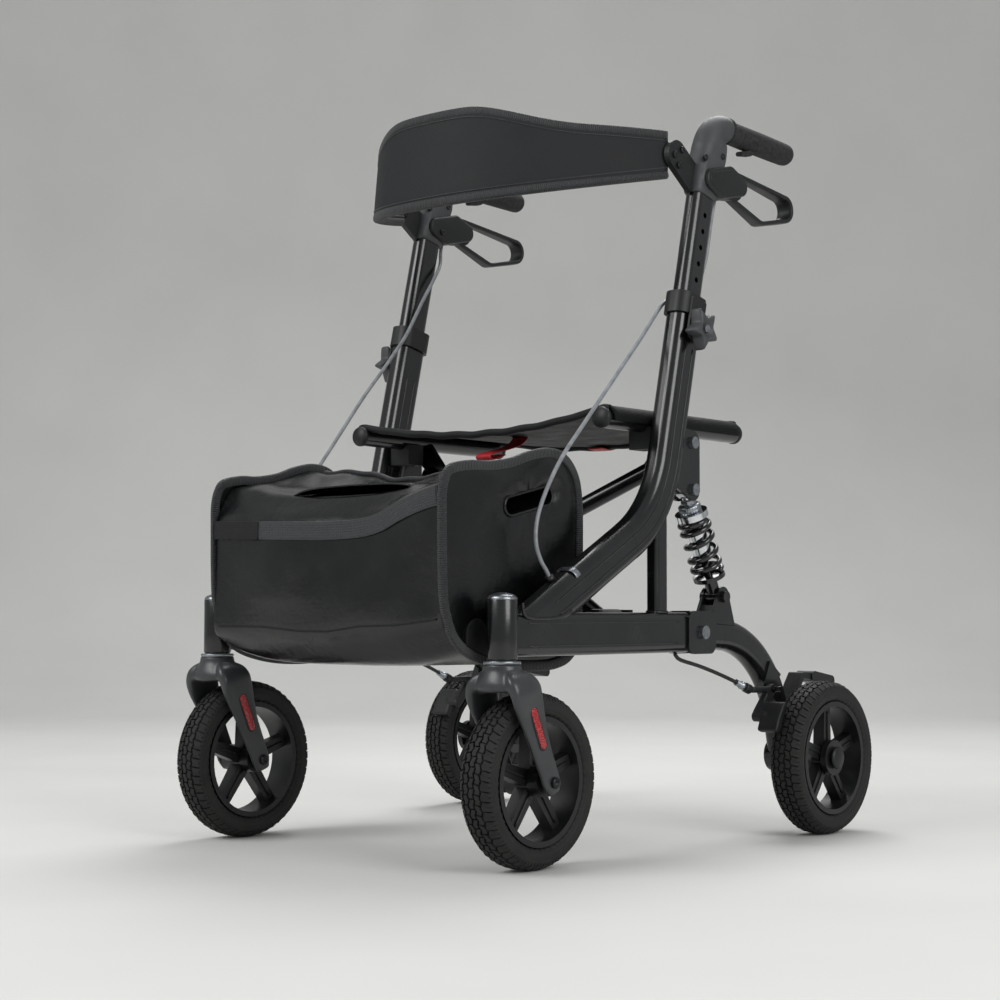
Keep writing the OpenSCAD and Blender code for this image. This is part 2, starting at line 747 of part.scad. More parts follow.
module fork() {
    leg_r = 13;
    shoulder = 22;
    root = 14;
    clear = tyre_w / 2 + fork_gap;
    half = fork_w / 2;
    color(plastic_black) difference() {
        union() {
            intersection() {
                slab(frame_x - half, frame_x + half) {
                    polygon(concat([for (i = [0 : fork_steps]) fork_side(i / fork_steps, 1)],
                        [for (i = [fork_steps : -1 : 0]) fork_side(i / fork_steps, -1)]));
                    translate(front_axle) circle(leg_r);
                }
                translate([frame_x, head_y + wheel_d, 0]) rotate([90, 0, 0]) linear_extrude(2 * wheel_d) {
                    translate([-half, 0]) square([fork_w, fork_top_z - shoulder]);
                    translate([-half + shoulder, 0]) square([fork_w - 2 * shoulder, fork_top_z]);
                    for (s = [-1, 1])
                        translate([s * (half - shoulder), fork_top_z - shoulder]) circle(shoulder);
                }
            }
            translate([frame_x, head_y, fork_top_z - root]) {
                cylinder(d = head_d + 8, h = root + crown_drop - free_gap);
                cylinder(d = stem_d, h = root + crown_drop + head_len - 8);
            }
        }
        cross_pin(front_axle, wheel_d + 4 * fork_gap, frame_x - clear, frame_x + clear);
        cross_pin(front_axle, axle_d + 2 * seat_gap, frame_x - fork_w, frame_x + fork_w);
    }
}

module reflectors() {
    t = 1.5;
    w = 10;
    color(red) for (s = [-1, 1]) translate([s > 0 ? fork_w / 2 + seat_gap : -fork_w / 2 - seat_gap - t, 0, 0])
        at_frame() slab(0, t) capsule(fork_line(0.52), fork_line(0.78), w / 2);
}

module front_axle_bolt() { color(steel) bolt_x(front_axle, axle_d, fork_w / 2 + seat_gap); }

// Wheels: section points follow a rounded square, [radius, along the axle]
function round_power(v, n) = sign(v) * pow(abs(v), 2 / n);
tyre_steps = 28;
tyre_fullness = 2.6;

module tyre(p, x) {
    middle = (wheel_r + rim_seat_r) / 2;
    deep = (wheel_r - rim_seat_r) / 2;
    color(rubber_black) translate([x, p[0], p[1]]) rotate([0, 90, 0]) rotate_extrude()
        polygon([for (i = [0 : tyre_steps - 1]) let (a = 360 * i / tyre_steps)
            [middle + deep * round_power(cos(a), tyre_fullness),
                tyre_w / 2 * round_power(sin(a), tyre_fullness)]]);
}

module rim(p, x, x_in, x_out, cap_d) {
    band_out = rim_seat_r - seat_gap;
    band_in = band_out - rim_wall;
    lip = 2.5;
    lip_t = 2;
    color(plastic_black) translate([x, p[0], p[1]]) rotate([0, 90, 0]) difference() {
        union() {
            rotate_extrude() {
                translate([band_in, -rim_w / 2]) square([rim_wall, rim_w]);
                for (s = [-1, 1]) translate([band_in, s * (rim_w - lip_t) / 2 - lip_t / 2])
                    square([rim_wall + lip, lip_t]);
            }
            translate([0, 0, x_in - x]) cylinder(d = hub_d, h = x_out - x_in);
            for (i = [0 : spoke_count - 1]) rotate(360 * i / spoke_count + 36) translate([0, 0, -spoke_t / 2])
                linear_extrude(spoke_t) polygon([[0, -spoke_w * 0.7], [band_in + 1, -spoke_w / 2],
                    [band_in + 1, spoke_w / 2], [0, spoke_w * 0.7]]);
            if (cap_d > 0) translate([0, 0, x_out - x - 8]) cylinder(d = cap_d, h = 8);
        }
        translate([0, 0, x_in - x - past]) cylinder(d = axle_d + 2 * run_gap, h = x_out - x_in + 2 * past);
    }
}

front_hub = tyre_w / 2 + fork_gap - free_gap;

module front_tyre() { tyre(front_axle, frame_x); }

module front_rim() { rim(front_axle, frame_x, frame_x - front_hub, frame_x + front_hub, 0); }

module rear_tyre() { tyre(rear_axle_at, rear_track_x); }

module rear_rim() { rim(rear_axle_at, rear_track_x, hub_in_x, hub_out_x, 46); }

// Rear suspension

module arm_section(grow) { rounded(arm_depth + 2 * grow, arm_w + 2 * grow, arm_w / 2 - 1 + grow); }

module arm_path(grow) {
    at_frame() {
        run_from(pivot, -arm_drop, arm_straight) arm_section(grow);
        bend_about(arm_centre, arm_r, arm_end_angle, arm_turn) arm_section(grow + full);
        run_from(arm_end, arm_exit, tail_run) arm_section(grow);
    }
}

boss_out_x = hub_in_x - free_gap;

module swing_arm() {
    lug_r = 13;
    base = arm_depth / 2 - 6;
    color(frame_black) difference() {
        union() {
            difference() {
                arm_path(0);
                arm_path(-tube_wall);
            }
            cross_pin(pivot, barrel_d, frame_x - tube_w / 2 + 1 + free_gap,
                frame_x + tube_w / 2 - 1 - free_gap);
            cross_pin(rear_axle_at, arm_depth + 3, frame_x - arm_w / 2 - 1, boss_out_x);
            for (s = [-1, 1]) difference() {
                side_plate(s, plate_out, plate_t) {
                    translate(eye_low) circle(lug_r);
                    polygon([eye_low + [-lug_r, 0], eye_low + [lug_r, 0],
                        [eye_low[0] + 26, pivot[1] + base - 6], [eye_low[0] - 30, pivot[1] + base - 2]]);
                }
                arm_path(-tube_wall / 2);
            }
            difference() {
                slab(frame_x + arm_w / 2 - 8, frame_x + arm_w / 2 + 3)
                    translate(shoe_pivot) polygon([[-9, 2], [6, -9], [34, 18], [8, 36]]);
                arm_path(-tube_wall / 2);
            }
            cross_pin(shoe_pivot, shoe_pin_d + 10, frame_x + arm_w / 2 - 8, frame_x + arm_w / 2 + 3);
            cross_pin(shoe_pivot, shoe_pin_d, frame_x + arm_w / 2, hub_in_x + 2);
        }
        cross_pin(pivot, axle_d + 2 * run_gap, frame_x - tube_w, frame_x + tube_w);
        cross_pin(rear_axle_at, axle_d + 2 * seat_gap, frame_x - tube_w, rear_track_x);
        cross_pin(eye_low, shock_bolt_d + 2, frame_x - 2 * plate_out, frame_x + 2 * plate_out);
    }
}

module kerb_pedal() {
    t = 8;
    knee = rear_axle_at + [20, 106];
    end = [rear_axle_at[0] + wheel_r - 10, rear_axle_at[1] + 97];
    x_in = frame_x + 1;
    color(plastic_black) difference() {
        union() {
            slab(x_in, x_in + pedal_w) {
                capsule(rear_axle_at + [-14, 62], knee, t / 2);
                capsule(knee, end, t / 2);
            }
            slab(x_in - 2, x_in + pedal_w + 2) capsule(knee + [26, -2], end, t - 1);
        }
        arm_path(seat_gap);
    }
}

module rear_axle() {
    head_x = frame_x - arm_w / 2 - 1 - seat_gap;
    color(steel) {
        cross_pin(rear_axle_at, axle_d, frame_x - arm_w / 2 - 2, hub_out_x + 1);
        cross_pin(rear_axle_at, axle_d + head_extra, head_x - head_t, head_x);
        cross_pin(rear_axle_at, axle_d + head_extra, hub_out_x + free_gap, hub_out_x + free_gap + 2.5);
    }
}

module brake_shoe() {
    x_in = frame_x + arm_w / 2 + 3 + free_gap;
    tail = low_cable_points[len(low_cable_points) - 1];
    tail_at = [tail[1], tail[2]];
    pad_at = rear_axle_at + (wheel_r + brake_gap + shoe_t / 2) * heading(shoe_angle);
    arm_t = 10;
    lobe_r = 7;
    color(plastic_black) difference() {
        union() {
            translate([0, rear_axle_at[0], rear_axle_at[1]]) translate([hub_in_x - 6, 0, 0]) side_plane()
                rotate(shoe_angle - shoe_sweep / 2) rotate_extrude(angle = shoe_sweep)
                    translate([wheel_r + brake_gap, 0]) square([shoe_t, 0.65 * tyre_w]);
            slab(x_in, x_in + arm_t) {
                capsule(shoe_pivot, pad_at, lobe_r);
                capsule(shoe_pivot, tail_at + [5, 0], 4);
            }
            slab(x_in, hub_in_x) translate(pad_at) circle(lobe_r);
        }
        cross_pin(shoe_pivot, shoe_pin_d + 2 * run_gap, x_in - past, x_in + arm_t + past);
        translate(tail) sphere(d = cable_d + 2 * free_gap);
    }
}

// The shock's own frame: Z runs from the upper eye to the lower eye
module shock_frame() {
    translate([frame_x, eye_top[0], eye_top[1]]) rotate([shock_heading - 90, 0, 0]) children();
}

module eye_block(s, r) {
    translate([0, 0, s]) rotate([0, 90, 0]) cylinder(r = r, h = eye_w, center = true);
}

damper_end_s = seat_low_s - 26;
rod_d = 10;

module shock_damper() {
    neck_d = 14;
    color(chrome) shock_frame() difference() {
        union() {
            eye_block(0, 11);
            cylinder(d = neck_d, h = seat_top_s);
            translate([0, 0, seat_top_s - seat_flange_t]) {
                cylinder(d = spring_d - 2, h = seat_flange_t);
                cylinder(d = damper_d, h = damper_end_s - seat_top_s + seat_flange_t);
            }
        }
        rotate([0, 90, 0]) cylinder(d = shock_bolt_d + 2 * run_gap, h = 2 * eye_w, center = true);
        translate([0, 0, seat_top_s]) cylinder(d = rod_d + 2 * run_gap, h = shock_len);
    }
}

module shock_rod() {
    color(frame_black) shock_frame() {
        translate([0, 0, damper_end_s - 28]) cylinder(d = rod_d, h = seat_low_s - damper_end_s + 30);
        translate([0, 0, seat_low_s]) cylinder(d = spring_d - 2, h = 6);
        translate([0, 0, seat_low_s + 2]) cylinder(d = eye_w - 1, h = shock_len - seat_low_s - 2);
        eye_block(shock_len, 11);
        translate([0, 0, shock_len]) rotate([0, 90, 0]) {
            cylinder(d = shock_bolt_d, h = 2 * plate_out + 2 * free_gap, center = true);
            for (s = [-1, 1]) translate([0, 0, s * (plate_out + free_gap + head_t / 2)])
                cylinder(d = shock_bolt_d + head_extra, h = head_t, center = true);
        }
    }
}

// Coil spring: one tube along a helix, its ends straight for one wire diameter
curl_rings = 8;
spring_r = (spring_d - wire_d) / 2;
spring_low = seat_top_s + wire_d / 2 + free_gap;
spring_rise = seat_low_s - seat_top_s - wire_d - 2 * free_gap;
coil_path = [for (i = [0 : spring_turns * curl_rings]) let (a = 360 * i / curl_rings)
    [spring_r * cos(a), spring_r * sin(a), spring_low + spring_rise * i / (spring_turns * curl_rings)]];
coil_last = len(coil_path) - 1;
spring_path = concat(
    [coil_path[0] - wire_d * [0, 1, 0]],
    coil_path,
    [coil_path[coil_last] + wire_d * [-sin(360 * spring_turns), cos(360 * spring_turns), 0]]);
spring_gap = min([
    for (i = [0 : coil_last - curl_rings], j = [i + curl_rings - 1 : min(i + curl_rings + 1, coil_last)])
        norm(coil_path[i] - coil_path[j])]) - wire_d;
echo(str("least gap between the spring's curls: ", spring_gap, " mm"));

module shock_spring() {
    n = 6;
    color(frame_black) shock_frame() polyhedron(
        [for (i = [0 : len(spring_path) - 1])
            each ring_at(spring_path[i], tangent_at(spring_path, i), [0, 0, 1], wire_d / 2, n)],
        skin_faces(len(spring_path), n));
}

// Cross tubes with their seat rails

module rod_between(a, b, d) {
    v = b - a;
    translate(a) rotate([0, acos(v[2] / norm(v)), atan2(v[1], v[0])]) cylinder(d = d, h = norm(v));
}

// Hinge on the +X side, rail on the -X side
module cross_member(y, carries_pin) {
    upper_y = gusset_y + y - hinge_y;
    low = [rail_x, y, hinge_z];
    high = [-rail_x, upper_y, bar_end_z];
    end = low + (high - low) * 0.97;
    mid_y = (y + upper_y) / 2;
    pin_reach = cross_d / 2 + 4;
    color(frame_black) difference() {
        union() {
            rod_between(low, end, cross_d);
            translate(low) rotate([90, 0, 0]) cylinder(d = hinge_barrel_d, h = barrel_len, center = true);
            translate([-rail_x, rail_front_y, seat_z]) rotate([-90, 0, 0]) cylinder(d = rail_d, h = rail_len);
            translate([0, upper_y + gusset_t / 2, 0]) rotate([90, 0, 0]) linear_extrude(gusset_t)
                translate([-rail_x, 0]) polygon([[2 - rail_d / 2, seat_z], [rail_d / 2 - 2, seat_z],
                    [62, bar_end_z - 26], [22, bar_end_z - 14], [-2, bar_end_z + 6]]);
            if (carries_pin) translate([0, mid_y - pin_reach, cross_z]) rotate([-90, 0, 0])
                cylinder(d = centre_pin_d, h = cross_step + 2 * pin_reach);
            if (carries_pin) translate([0, mid_y + cross_step + pin_reach, cross_z]) rotate([-90, 0, 0])
                cylinder(d = centre_pin_d + head_extra, h = head_t);
            if (carries_pin) translate([0, mid_y, cross_z]) rotate([-90, 0, 0])
                cylinder(d = centre_pin_d + head_extra, h = cross_step - pin_reach);
        }
        rod_between(low + (high - low) * 0.07, low + (high - low) * 0.44, cross_d - 2 * tube_wall);
        rod_between(low + (high - low) * 0.56, low + (high - low) * 0.9, cross_d - 2 * tube_wall);
        translate([-rail_x, rail_front_y + 8, seat_z]) rotate([-90, 0, 0])
            cylinder(d = rail_d - 2 * tube_wall, h = rail_len - 16);
        translate([rail_x, y - barrel_len, hinge_z]) rotate([-90, 0, 0])
            cylinder(d = hinge_pin_d + 2 * run_gap, h = 2 * barrel_len);
        if (!carries_pin) translate([0, mid_y - cross_d, cross_z]) rotate([-90, 0, 0])
            cylinder(d = centre_pin_d + 2 * run_gap, h = 2 * cross_d);
    }
}

// Soft pieces

// The sling's middle line: over the rail, then a sag to the middle of the seat
sling_r = rail_d / 2 + free_gap + sling_t / 2;
sling_slope = atan(2 * sling_sag / rail_x);
sling_wrap = 15;
sling_arc = 10;
sling_steps = 14;
function sling_rail(k, off) = let (a = -sling_wrap + (90 + sling_slope + sling_wrap) * k / sling_arc)
    [rail_x + (sling_r + off) * cos(a), seat_z + (sling_r + off) * sin(a)];
sling_edge = sling_rail(sling_arc, 0);
function sling_hang(k, off) = let (
    x = sling_edge[0] * (1 - k / sling_steps),
    z = sling_edge[1] - sling_sag * (1 - pow(x / sling_edge[0], 2)),
    n = unit([-2 * sling_sag * x / pow(sling_edge[0], 2), 1]))
    [x, z] + off * n;
function sling_half(off) = concat(
    [for (k = [0 : sling_arc]) sling_rail(k, off)],
    [for (k = [1 : sling_steps]) sling_hang(k, off)]);
function flipped(p) = [for (i = [len(p) - 2 : -1 : 0]) [-p[i][0], p[i][1]]];
function backwards(p) = [for (i = [len(p) - 1 : -1 : 0]) p[i]];
function sling_line(off) = concat(sling_half(off), flipped(sling_half(off)));

module seat_sling() {
    inset = 7;
    color(fabric_black) translate([0, rail_front_y + rail_len - inset, 0]) rotate([90, 0, 0])
        linear_extrude(rail_len - 2 * inset)
            polygon(concat(sling_line(sling_t / 2), backwards(sling_line(-sling_t / 2))));
}

bag_w = 2 * (frame_x - tube_w / 2 - bag_gap);
bag_back_y = bag_front_y + bag_depth;
lid_sag = 24;
bag_curve = 16;

module bag_side(i) {
    peak_y = bag_back_y - 66;
    front_z = bag_low_z + bag_front_h;
    peak_z = bag_low_z + bag_peak_h;
    polygon([[bag_front_y + i, 0], [bag_front_y + i, front_z - i], [bag_front_y + 22, front_z + 14 - i],
        [peak_y, peak_z - i], [peak_y + 30, peak_z - 6 - i], [bag_back_y - 10 - i, peak_z - 28 - i],
        [bag_back_y - i, peak_z - 52 - i], [bag_back_y - i, 0]]);
}

module bag_face(i) {
    half = bag_w / 2 - i;
    peak_z = bag_low_z + bag_peak_h - i;
    polygon(concat(
        [for (k = [-bag_curve : bag_curve]) let (u = k / bag_curve)
            [half * u, bag_low_z + i - bag_sag * (1 - u * u)]],
        [for (k = [bag_curve : -1 : -bag_curve]) let (u = k / bag_curve)
            [half * u, peak_z - lid_sag * (1 - pow(abs(u), 2))]]));
}

module bag_solid(i) {
    intersection() {
        slab(-bag_w, bag_w) bag_side(i);
        translate([0, bag_back_y + past, 0]) rotate([90, 0, 0])
            linear_extrude(bag_depth + 2 * past) bag_face(i);
    }
}

module bag() {
    slot_l = 86;
    slot_r = 10;
    slot_tilt = 13;
    mouth = 50;
    mouth_w = bag_w / 2;
    mouth_back = 20;
    tab_w = 24;
    tab_h = 16;
    tab_reach = frame_x - tube_w / 2 - free_gap - bag_w / 2 + bag_wall / 2;
    tab_ys = [-182, -274];
    tab_zs = [foot[1] + (tab_ys[0] - foot[0]) * tan(down_slope), lower_z];
    slot_at = [bag_front_y + 140, bag_low_z + 158];
    color(fabric_black) difference() {
        union() {
            bag_solid(0);
            for (s = [0, 1], k = [0, 1]) mirror([s, 0, 0])
                translate([bag_w / 2 - bag_wall / 2, tab_ys[k] - tab_w / 2,
                    max(tab_zs[k], bag_low_z + 10) - tab_h / 2])
                    cube([tab_reach, tab_w, tab_h]);
        }
        bag_solid(bag_wall);
        translate([-mouth_w / 2, bag_front_y + mouth_back, bag_low_z + bag_peak_h / 2])
            cube([mouth_w, mouth, bag_peak_h]);
        slab(-bag_w, bag_w) translate(slot_at) rotate(slot_tilt) {
            square([slot_l - 2 * slot_r, 2 * slot_r], center = true);
            for (s = [-1, 1]) translate([s * (slot_l / 2 - slot_r), 0]) circle(slot_r);
        }
    }
}

// Backrest band: rings round a padded strip that bows forward between the handles
bow_power = 2.5;
end_drop = 20;
function band_at(u) = [band_end_x * u, band_end_y - band_bow * (1 - pow(abs(u), bow_power)), 0];
function band_normal(u) = let (
    slope = sign(u) * bow_power * band_bow / band_end_x * pow(abs(u), bow_power - 1))
    unit([slope, -1, 0]);
function band_ring(u) = let (
    top = band_top_z - end_drop * u * u,
    h = band_end_h + (band_h - band_end_h) * (1 - pow(abs(u), 2.4)))
    [for (k = [0 : band_sides - 1]) let (a = 360 * k / band_sides)
        band_at(u) + band_t / 2 * round_power(cos(a), 3) * band_normal(u)
            + [0, 0, top - h / 2 + h / 2 * round_power(sin(a), 6)]];

module backrest_band() {
    color(fabric_black) polyhedron(
        [for (i = [0 : band_rings]) each band_ring(-1 + 2 * i / band_rings)],
        skin_faces(band_rings + 1, band_sides));
}

main_tube();  // left_main_tube
lower_tube(hinge_y);  // left_lower_tube
height_collar();  // left_height_collar
rail_saddle();  // left_rail_saddle
frame_bolts(hinge_y);  // left_frame_bolts
star_knob();  // left_star_knob
handle_post();  // left_handle_post
handle_body();  // left_handle_body
grip();  // left_grip
backrest_bracket();  // left_backrest_bracket
upper_cable();  // left_upper_cable
brake_lever();  // left_brake_lever
fork();  // left_fork
reflectors();  // left_reflectors
front_axle_bolt();  // left_front_axle
front_tyre();  // left_front_tyre
front_rim();  // left_front_rim
swing_arm();  // left_swing_arm
kerb_pedal();  // left_kerb_pedal
rear_axle();  // left_rear_axle
lower_cable();  // left_lower_cable
rear_tyre();  // left_rear_tyre
rear_rim();  // left_rear_rim
shock_damper();  // left_shock_damper
shock_rod();  // left_shock_rod
shock_spring();  // left_shock_spring
brake_shoe();  // left_brake_shoe
right() cross_member(hinge_y + cross_step, false);  // left_cross_tube
right() main_tube();  // right_main_tube
right() lower_tube(hinge_y + cross_step);  // right_lower_tube
right() height_collar();  // right_height_collar
right() rail_saddle();  // right_rail_saddle
right() frame_bolts(hinge_y + cross_step);  // right_frame_bolts
right() star_knob();  // right_star_knob
right() handle_post();  // right_handle_post
right() handle_body();  // right_handle_body
right() grip();  // right_grip
right() backrest_bracket();  // right_backrest_bracket
right() upper_cable();  // right_upper_cable
right() brake_lever();  // right_brake_lever
right() fork();  // right_fork
right() reflectors();  // right_reflectors
right() front_axle_bolt();  // right_front_axle
right() front_tyre();  // right_front_tyre
right() front_rim();  // right_front_rim
right() swing_arm();  // right_swing_arm
right() kerb_pedal();  // right_kerb_pedal
right() rear_axle();  // right_rear_axle
right() lower_cable();  // right_lower_cable
right() rear_tyre();  // right_rear_tyre
right() rear_rim();  // right_rear_rim
right() shock_damper();  // right_shock_damper
right() shock_rod();  // right_shock_rod
right() shock_spring();  // right_shock_spring
right() brake_shoe();  // right_brake_shoe
cross_member(hinge_y, true);  // right_cross_tube
seat_sling();
bag();
backrest_band();
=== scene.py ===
# %% [markdown]
# # An all-terrain rollator in Blender
# A rollator is a walking frame on wheels. This one has large tyres and sprung rear wheels for rough paths,
# and it folds sideways. The engineering model gives every rigid piece its place and its motion. This
# script loads that model as a frame, gives each piece its finish, and replaces the pieces that a solid
# modeller draws too plainly: tyres with tread, cables, coil springs, moulded handles and forks, the padded
# backrest, the seat sling and the bag.

# %% Load the frame
import math

import bmesh
import bpy
import numpy as np
from mathutils import Matrix, Vector


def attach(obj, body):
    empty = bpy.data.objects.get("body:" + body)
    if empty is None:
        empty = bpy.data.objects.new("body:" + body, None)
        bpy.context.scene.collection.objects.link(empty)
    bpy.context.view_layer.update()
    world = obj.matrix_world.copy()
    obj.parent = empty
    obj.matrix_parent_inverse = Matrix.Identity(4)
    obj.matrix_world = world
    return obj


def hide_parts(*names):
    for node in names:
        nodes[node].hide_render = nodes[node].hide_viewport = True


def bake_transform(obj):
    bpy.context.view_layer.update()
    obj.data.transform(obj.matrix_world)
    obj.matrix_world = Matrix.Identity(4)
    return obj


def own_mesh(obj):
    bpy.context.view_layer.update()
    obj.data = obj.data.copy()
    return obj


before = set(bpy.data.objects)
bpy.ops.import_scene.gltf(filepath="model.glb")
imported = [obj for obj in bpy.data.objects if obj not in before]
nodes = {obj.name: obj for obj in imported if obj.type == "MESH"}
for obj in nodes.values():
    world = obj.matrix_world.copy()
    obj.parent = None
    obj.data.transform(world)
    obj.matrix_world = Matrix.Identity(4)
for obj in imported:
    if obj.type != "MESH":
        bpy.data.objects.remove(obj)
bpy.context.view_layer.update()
SIDES = (("left", 1), ("right", -1))
SIDE_X = 240  # middle plane of each side frame, in mm from the object's middle
print("frame loaded:", len(nodes), "nodes")

# %% [markdown]
# ## Camera
# The photograph was taken low and close. Its place and focal length were solved from points that mirror
# each other on the two sides of the object, so the render can be laid over it. A camera set by eye would
# hide whether a difference comes from the shape or from the view. A camera looks along its own -Z, so the
# three columns of its rotation are its right, its up, and the reverse of its view.

# %% Camera
AZIMUTH, PITCH, ROLL = (math.radians(a) for a in (40.6836, 3.2738, 0.159))
CAMERA_AT = (1.6239, -1.9255, 0.2939)
ahead = Vector((-math.sin(AZIMUTH) * math.cos(PITCH), math.cos(AZIMUTH) * math.cos(PITCH), math.sin(PITCH)))
level = Vector((math.cos(AZIMUTH), math.sin(AZIMUTH), 0))
upright = level.cross(ahead)
cam_right = level * math.cos(ROLL) + upright * math.sin(ROLL)
cam_up = upright * math.cos(ROLL) - level * math.sin(ROLL)
camera = bpy.data.objects.new("camera", bpy.data.cameras.new("camera"))
camera.data.sensor_width = 36
camera.data.sensor_fit = "HORIZONTAL"
camera.data.lens = 68.44
facing = Matrix((cam_right, cam_up, -ahead)).transposed().to_4x4()
camera.matrix_world = Matrix.Translation(CAMERA_AT) @ facing
bpy.context.scene.collection.objects.link(camera)
bpy.context.scene.camera = camera
print("camera lens", camera.data.lens, "mm")

# %% [markdown]
# ## Surfaces
# A surface is a grid of points worked out with numpy in one go, in millimetres, as on the drawing. It
# could be pulled about by hand in the viewport, but a formula can be read, changed and mirrored. These
# functions number the faces of a grid, carry a section along a path, turn a profile about an axis, and
# make the object in metres.

# %% Grids and objects
MM = 0.001


def grid_faces(rows, cols, wrap_rows=False, wrap_cols=False):
    """Corner numbers of the quads of a grid whose points are numbered row by row; a wrapped side joins its
    ends."""
    i = np.arange(rows if wrap_rows else rows - 1)[:, None]
    j = np.arange(cols if wrap_cols else cols - 1)[None, :]
    i2, j2 = (i + 1) % rows, (j + 1) % cols
    return np.stack([i * cols + j, i * cols + j2, i2 * cols + j2, i2 * cols + j], -1).reshape(-1, 4).tolist()


def tube_faces(rows, cols):
    """Quads of a grid whose columns go all the way round, with one face on each of its two open ends."""
    last = (rows - 1) * cols
    return grid_faces(rows, cols, False, True) + [list(range(cols))[::-1], list(range(last, last + cols))]


def make(name, surface, material, body=None, slot=None, replaces=(), smooth=True, weld=0):
    """A mesh object from (points in mm, faces), normals turned outward, riding on a body and replacing CAD
    nodes."""
    points, faces = surface[:2]
    mesh = bpy.data.meshes.new(name)
    mesh.from_pydata((np.asarray(points, float).reshape(-1, 3) * MM).tolist(), [], faces)
    if len(surface) > 2:
        layer = mesh.uv_layers.new(name="UVMap")
        corner = np.empty(len(mesh.loops), np.int32)
        mesh.loops.foreach_get("vertex_index", corner)
        layer.data.foreach_set("uv", (np.asarray(surface[2], float).reshape(-1, 2) * MM)[corner].ravel())
    work = bmesh.new()
    work.from_mesh(mesh)
    if weld:
        bmesh.ops.remove_doubles(work, verts=work.verts, dist=weld * MM)
        bmesh.ops.dissolve_degenerate(work, edges=work.edges, dist=1e-7)
    bmesh.ops.recalc_face_normals(work, faces=work.faces)
    work.to_mesh(mesh)
    work.free()
    mesh.polygons.foreach_set("use_smooth", [smooth] * len(mesh.polygons))
    mesh.materials.append(material)
    piece = bpy.data.objects.new(name, mesh)
    bpy.context.scene.collection.objects.link(piece)
    if body:
        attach(piece, body)
    if replaces:
        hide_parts(*replaces)
    return piece


print("a grid of 4 by 5 points has", len(grid_faces(4, 5)), "faces")

# %% [markdown]
# Tubes, tapes, wires and mouldings are all a section carried along a path. The path is a smooth curve
# through a few chosen points, and the section a circle or a rounded box. A bevelled curve object could
# do this for one section; here the section may change along the way.


# %% Paths and sections
def run_lengths(path):
    """Distance of each point of a path from its start, along the path."""
    return np.concatenate([[0], np.cumsum(np.linalg.norm(np.diff(path, axis=0), axis=1))])


def smooth_path(points, steps):
    """A Catmull-Rom curve: each stretch is the cubic between two points with the slope of their
    neighbours."""
    p = np.asarray(points, float)
    p = np.vstack([p[0], p, p[-1]])
    t = np.linspace(0, 1, steps, endpoint=False)[:, None]
    out = [0.5 * (2 * b + (c - a) * t + (2 * a - 5 * b + 4 * c - d) * t**2 + (3 * b - a - 3 * c + d) * t**3)
           for a, b, c, d in zip(p[:-3], p[1:-2], p[2:-1], p[3:])]
    return np.vstack(out + [p[-1][None]])


def signed_power(values, power):
    """Values raised to a power with their signs kept; on a cosine and a sine it turns a circle into a
    rounded box."""
    return np.sign(values) * np.abs(values) ** power


def ring(radius, sides):
    """Points of a circle: radius times the cosine and sine of evenly spaced angles."""
    a = np.linspace(0, 2 * np.pi, sides, endpoint=False)
    return radius * np.stack([np.cos(a), np.sin(a)], 1)


def rounded_box(half_u, half_v, power, count):
    """Points of a superellipse: a box with round corners, rounder for a smaller power."""
    a = np.linspace(0, 2 * np.pi, count, endpoint=False)
    u, v = (signed_power(wave, 2 / power) for wave in (np.cos(a), np.sin(a)))
    return np.stack([half_u * u, half_v * v], 1)


def sweep(path, section, side, closed=False):
    """Points, faces and (along, round) lengths of a section carried along a path: one section for all, or
    one for each point. Its first axis stays as close to side as it can; an open path gets end faces, a
    closed one joins its ends."""
    path, section, side = (np.asarray(a, float) for a in (path, section, side))
    section = np.broadcast_to(section, (len(path), *section.shape[-2:]))
    wide = np.vstack([path[-1:], path, path[:1]]) if closed else path
    along = np.gradient(wide, axis=0)
    along = along[1:-1] if closed else along
    along /= np.linalg.norm(along, axis=1, keepdims=True)
    side = np.broadcast_to(side, along.shape)
    first = side - along * np.sum(along * side, 1, keepdims=True)
    first /= np.linalg.norm(first, axis=1, keepdims=True)
    second = np.cross(along, first)
    points = path[:, None] + first[:, None] * section[..., :1] + second[:, None] * section[..., 1:]
    n, m = section.shape[:2]
    faces = grid_faces(n, m, True, True) if closed else tube_faces(n, m)
    uv = np.stack(np.broadcast_arrays(run_lengths(path)[:, None], run_lengths(section[0])[None, :]), -1)
    return points.reshape(-1, 3), faces, uv.reshape(-1, 2)


print("round a 10 mm circle:", round(float(run_lengths(ring(10, 60))[-1]), 1), "mm")

# %% [markdown]
# Caps, nuts, grips and knobs are turned, as on a lathe. Most pieces come in pairs, so each is drawn once
# for the left side, and its mirror image is made for the right side. A mirror modifier would make one
# object of both, but each side has its own bodies to ride on.


# %% Turned, joined and mirrored pieces
def turned(profile, centre, axis, sides, swell=None):
    """A profile of (radius, distance) pairs turned about an axis and closed at both ends. swell gives each
    profile point's share of a factor by angle, for lobes and hexagons."""
    profile = np.asarray(profile, float)
    axis = np.asarray(axis, float) / np.linalg.norm(axis)
    u = np.cross(axis, (0, 0, 1) if abs(axis[2]) < 0.9 else (0, 1, 0))
    u /= np.linalg.norm(u)
    v = np.cross(axis, u)
    a = np.linspace(0, 2 * np.pi, sides, endpoint=False)
    radius = np.repeat(profile[:, :1], sides, 1)
    if swell is not None:
        share, factor = swell
        radius = radius * (1 + np.asarray(share)[:, None] * (factor(a) - 1)[None])
    spoke = np.cos(a)[:, None] * u + np.sin(a)[:, None] * v
    points = np.asarray(centre, float) + radius[..., None] * spoke[None] + profile[:, None, 1:] * axis
    return points.reshape(-1, 3), tube_faces(len(profile), sides)


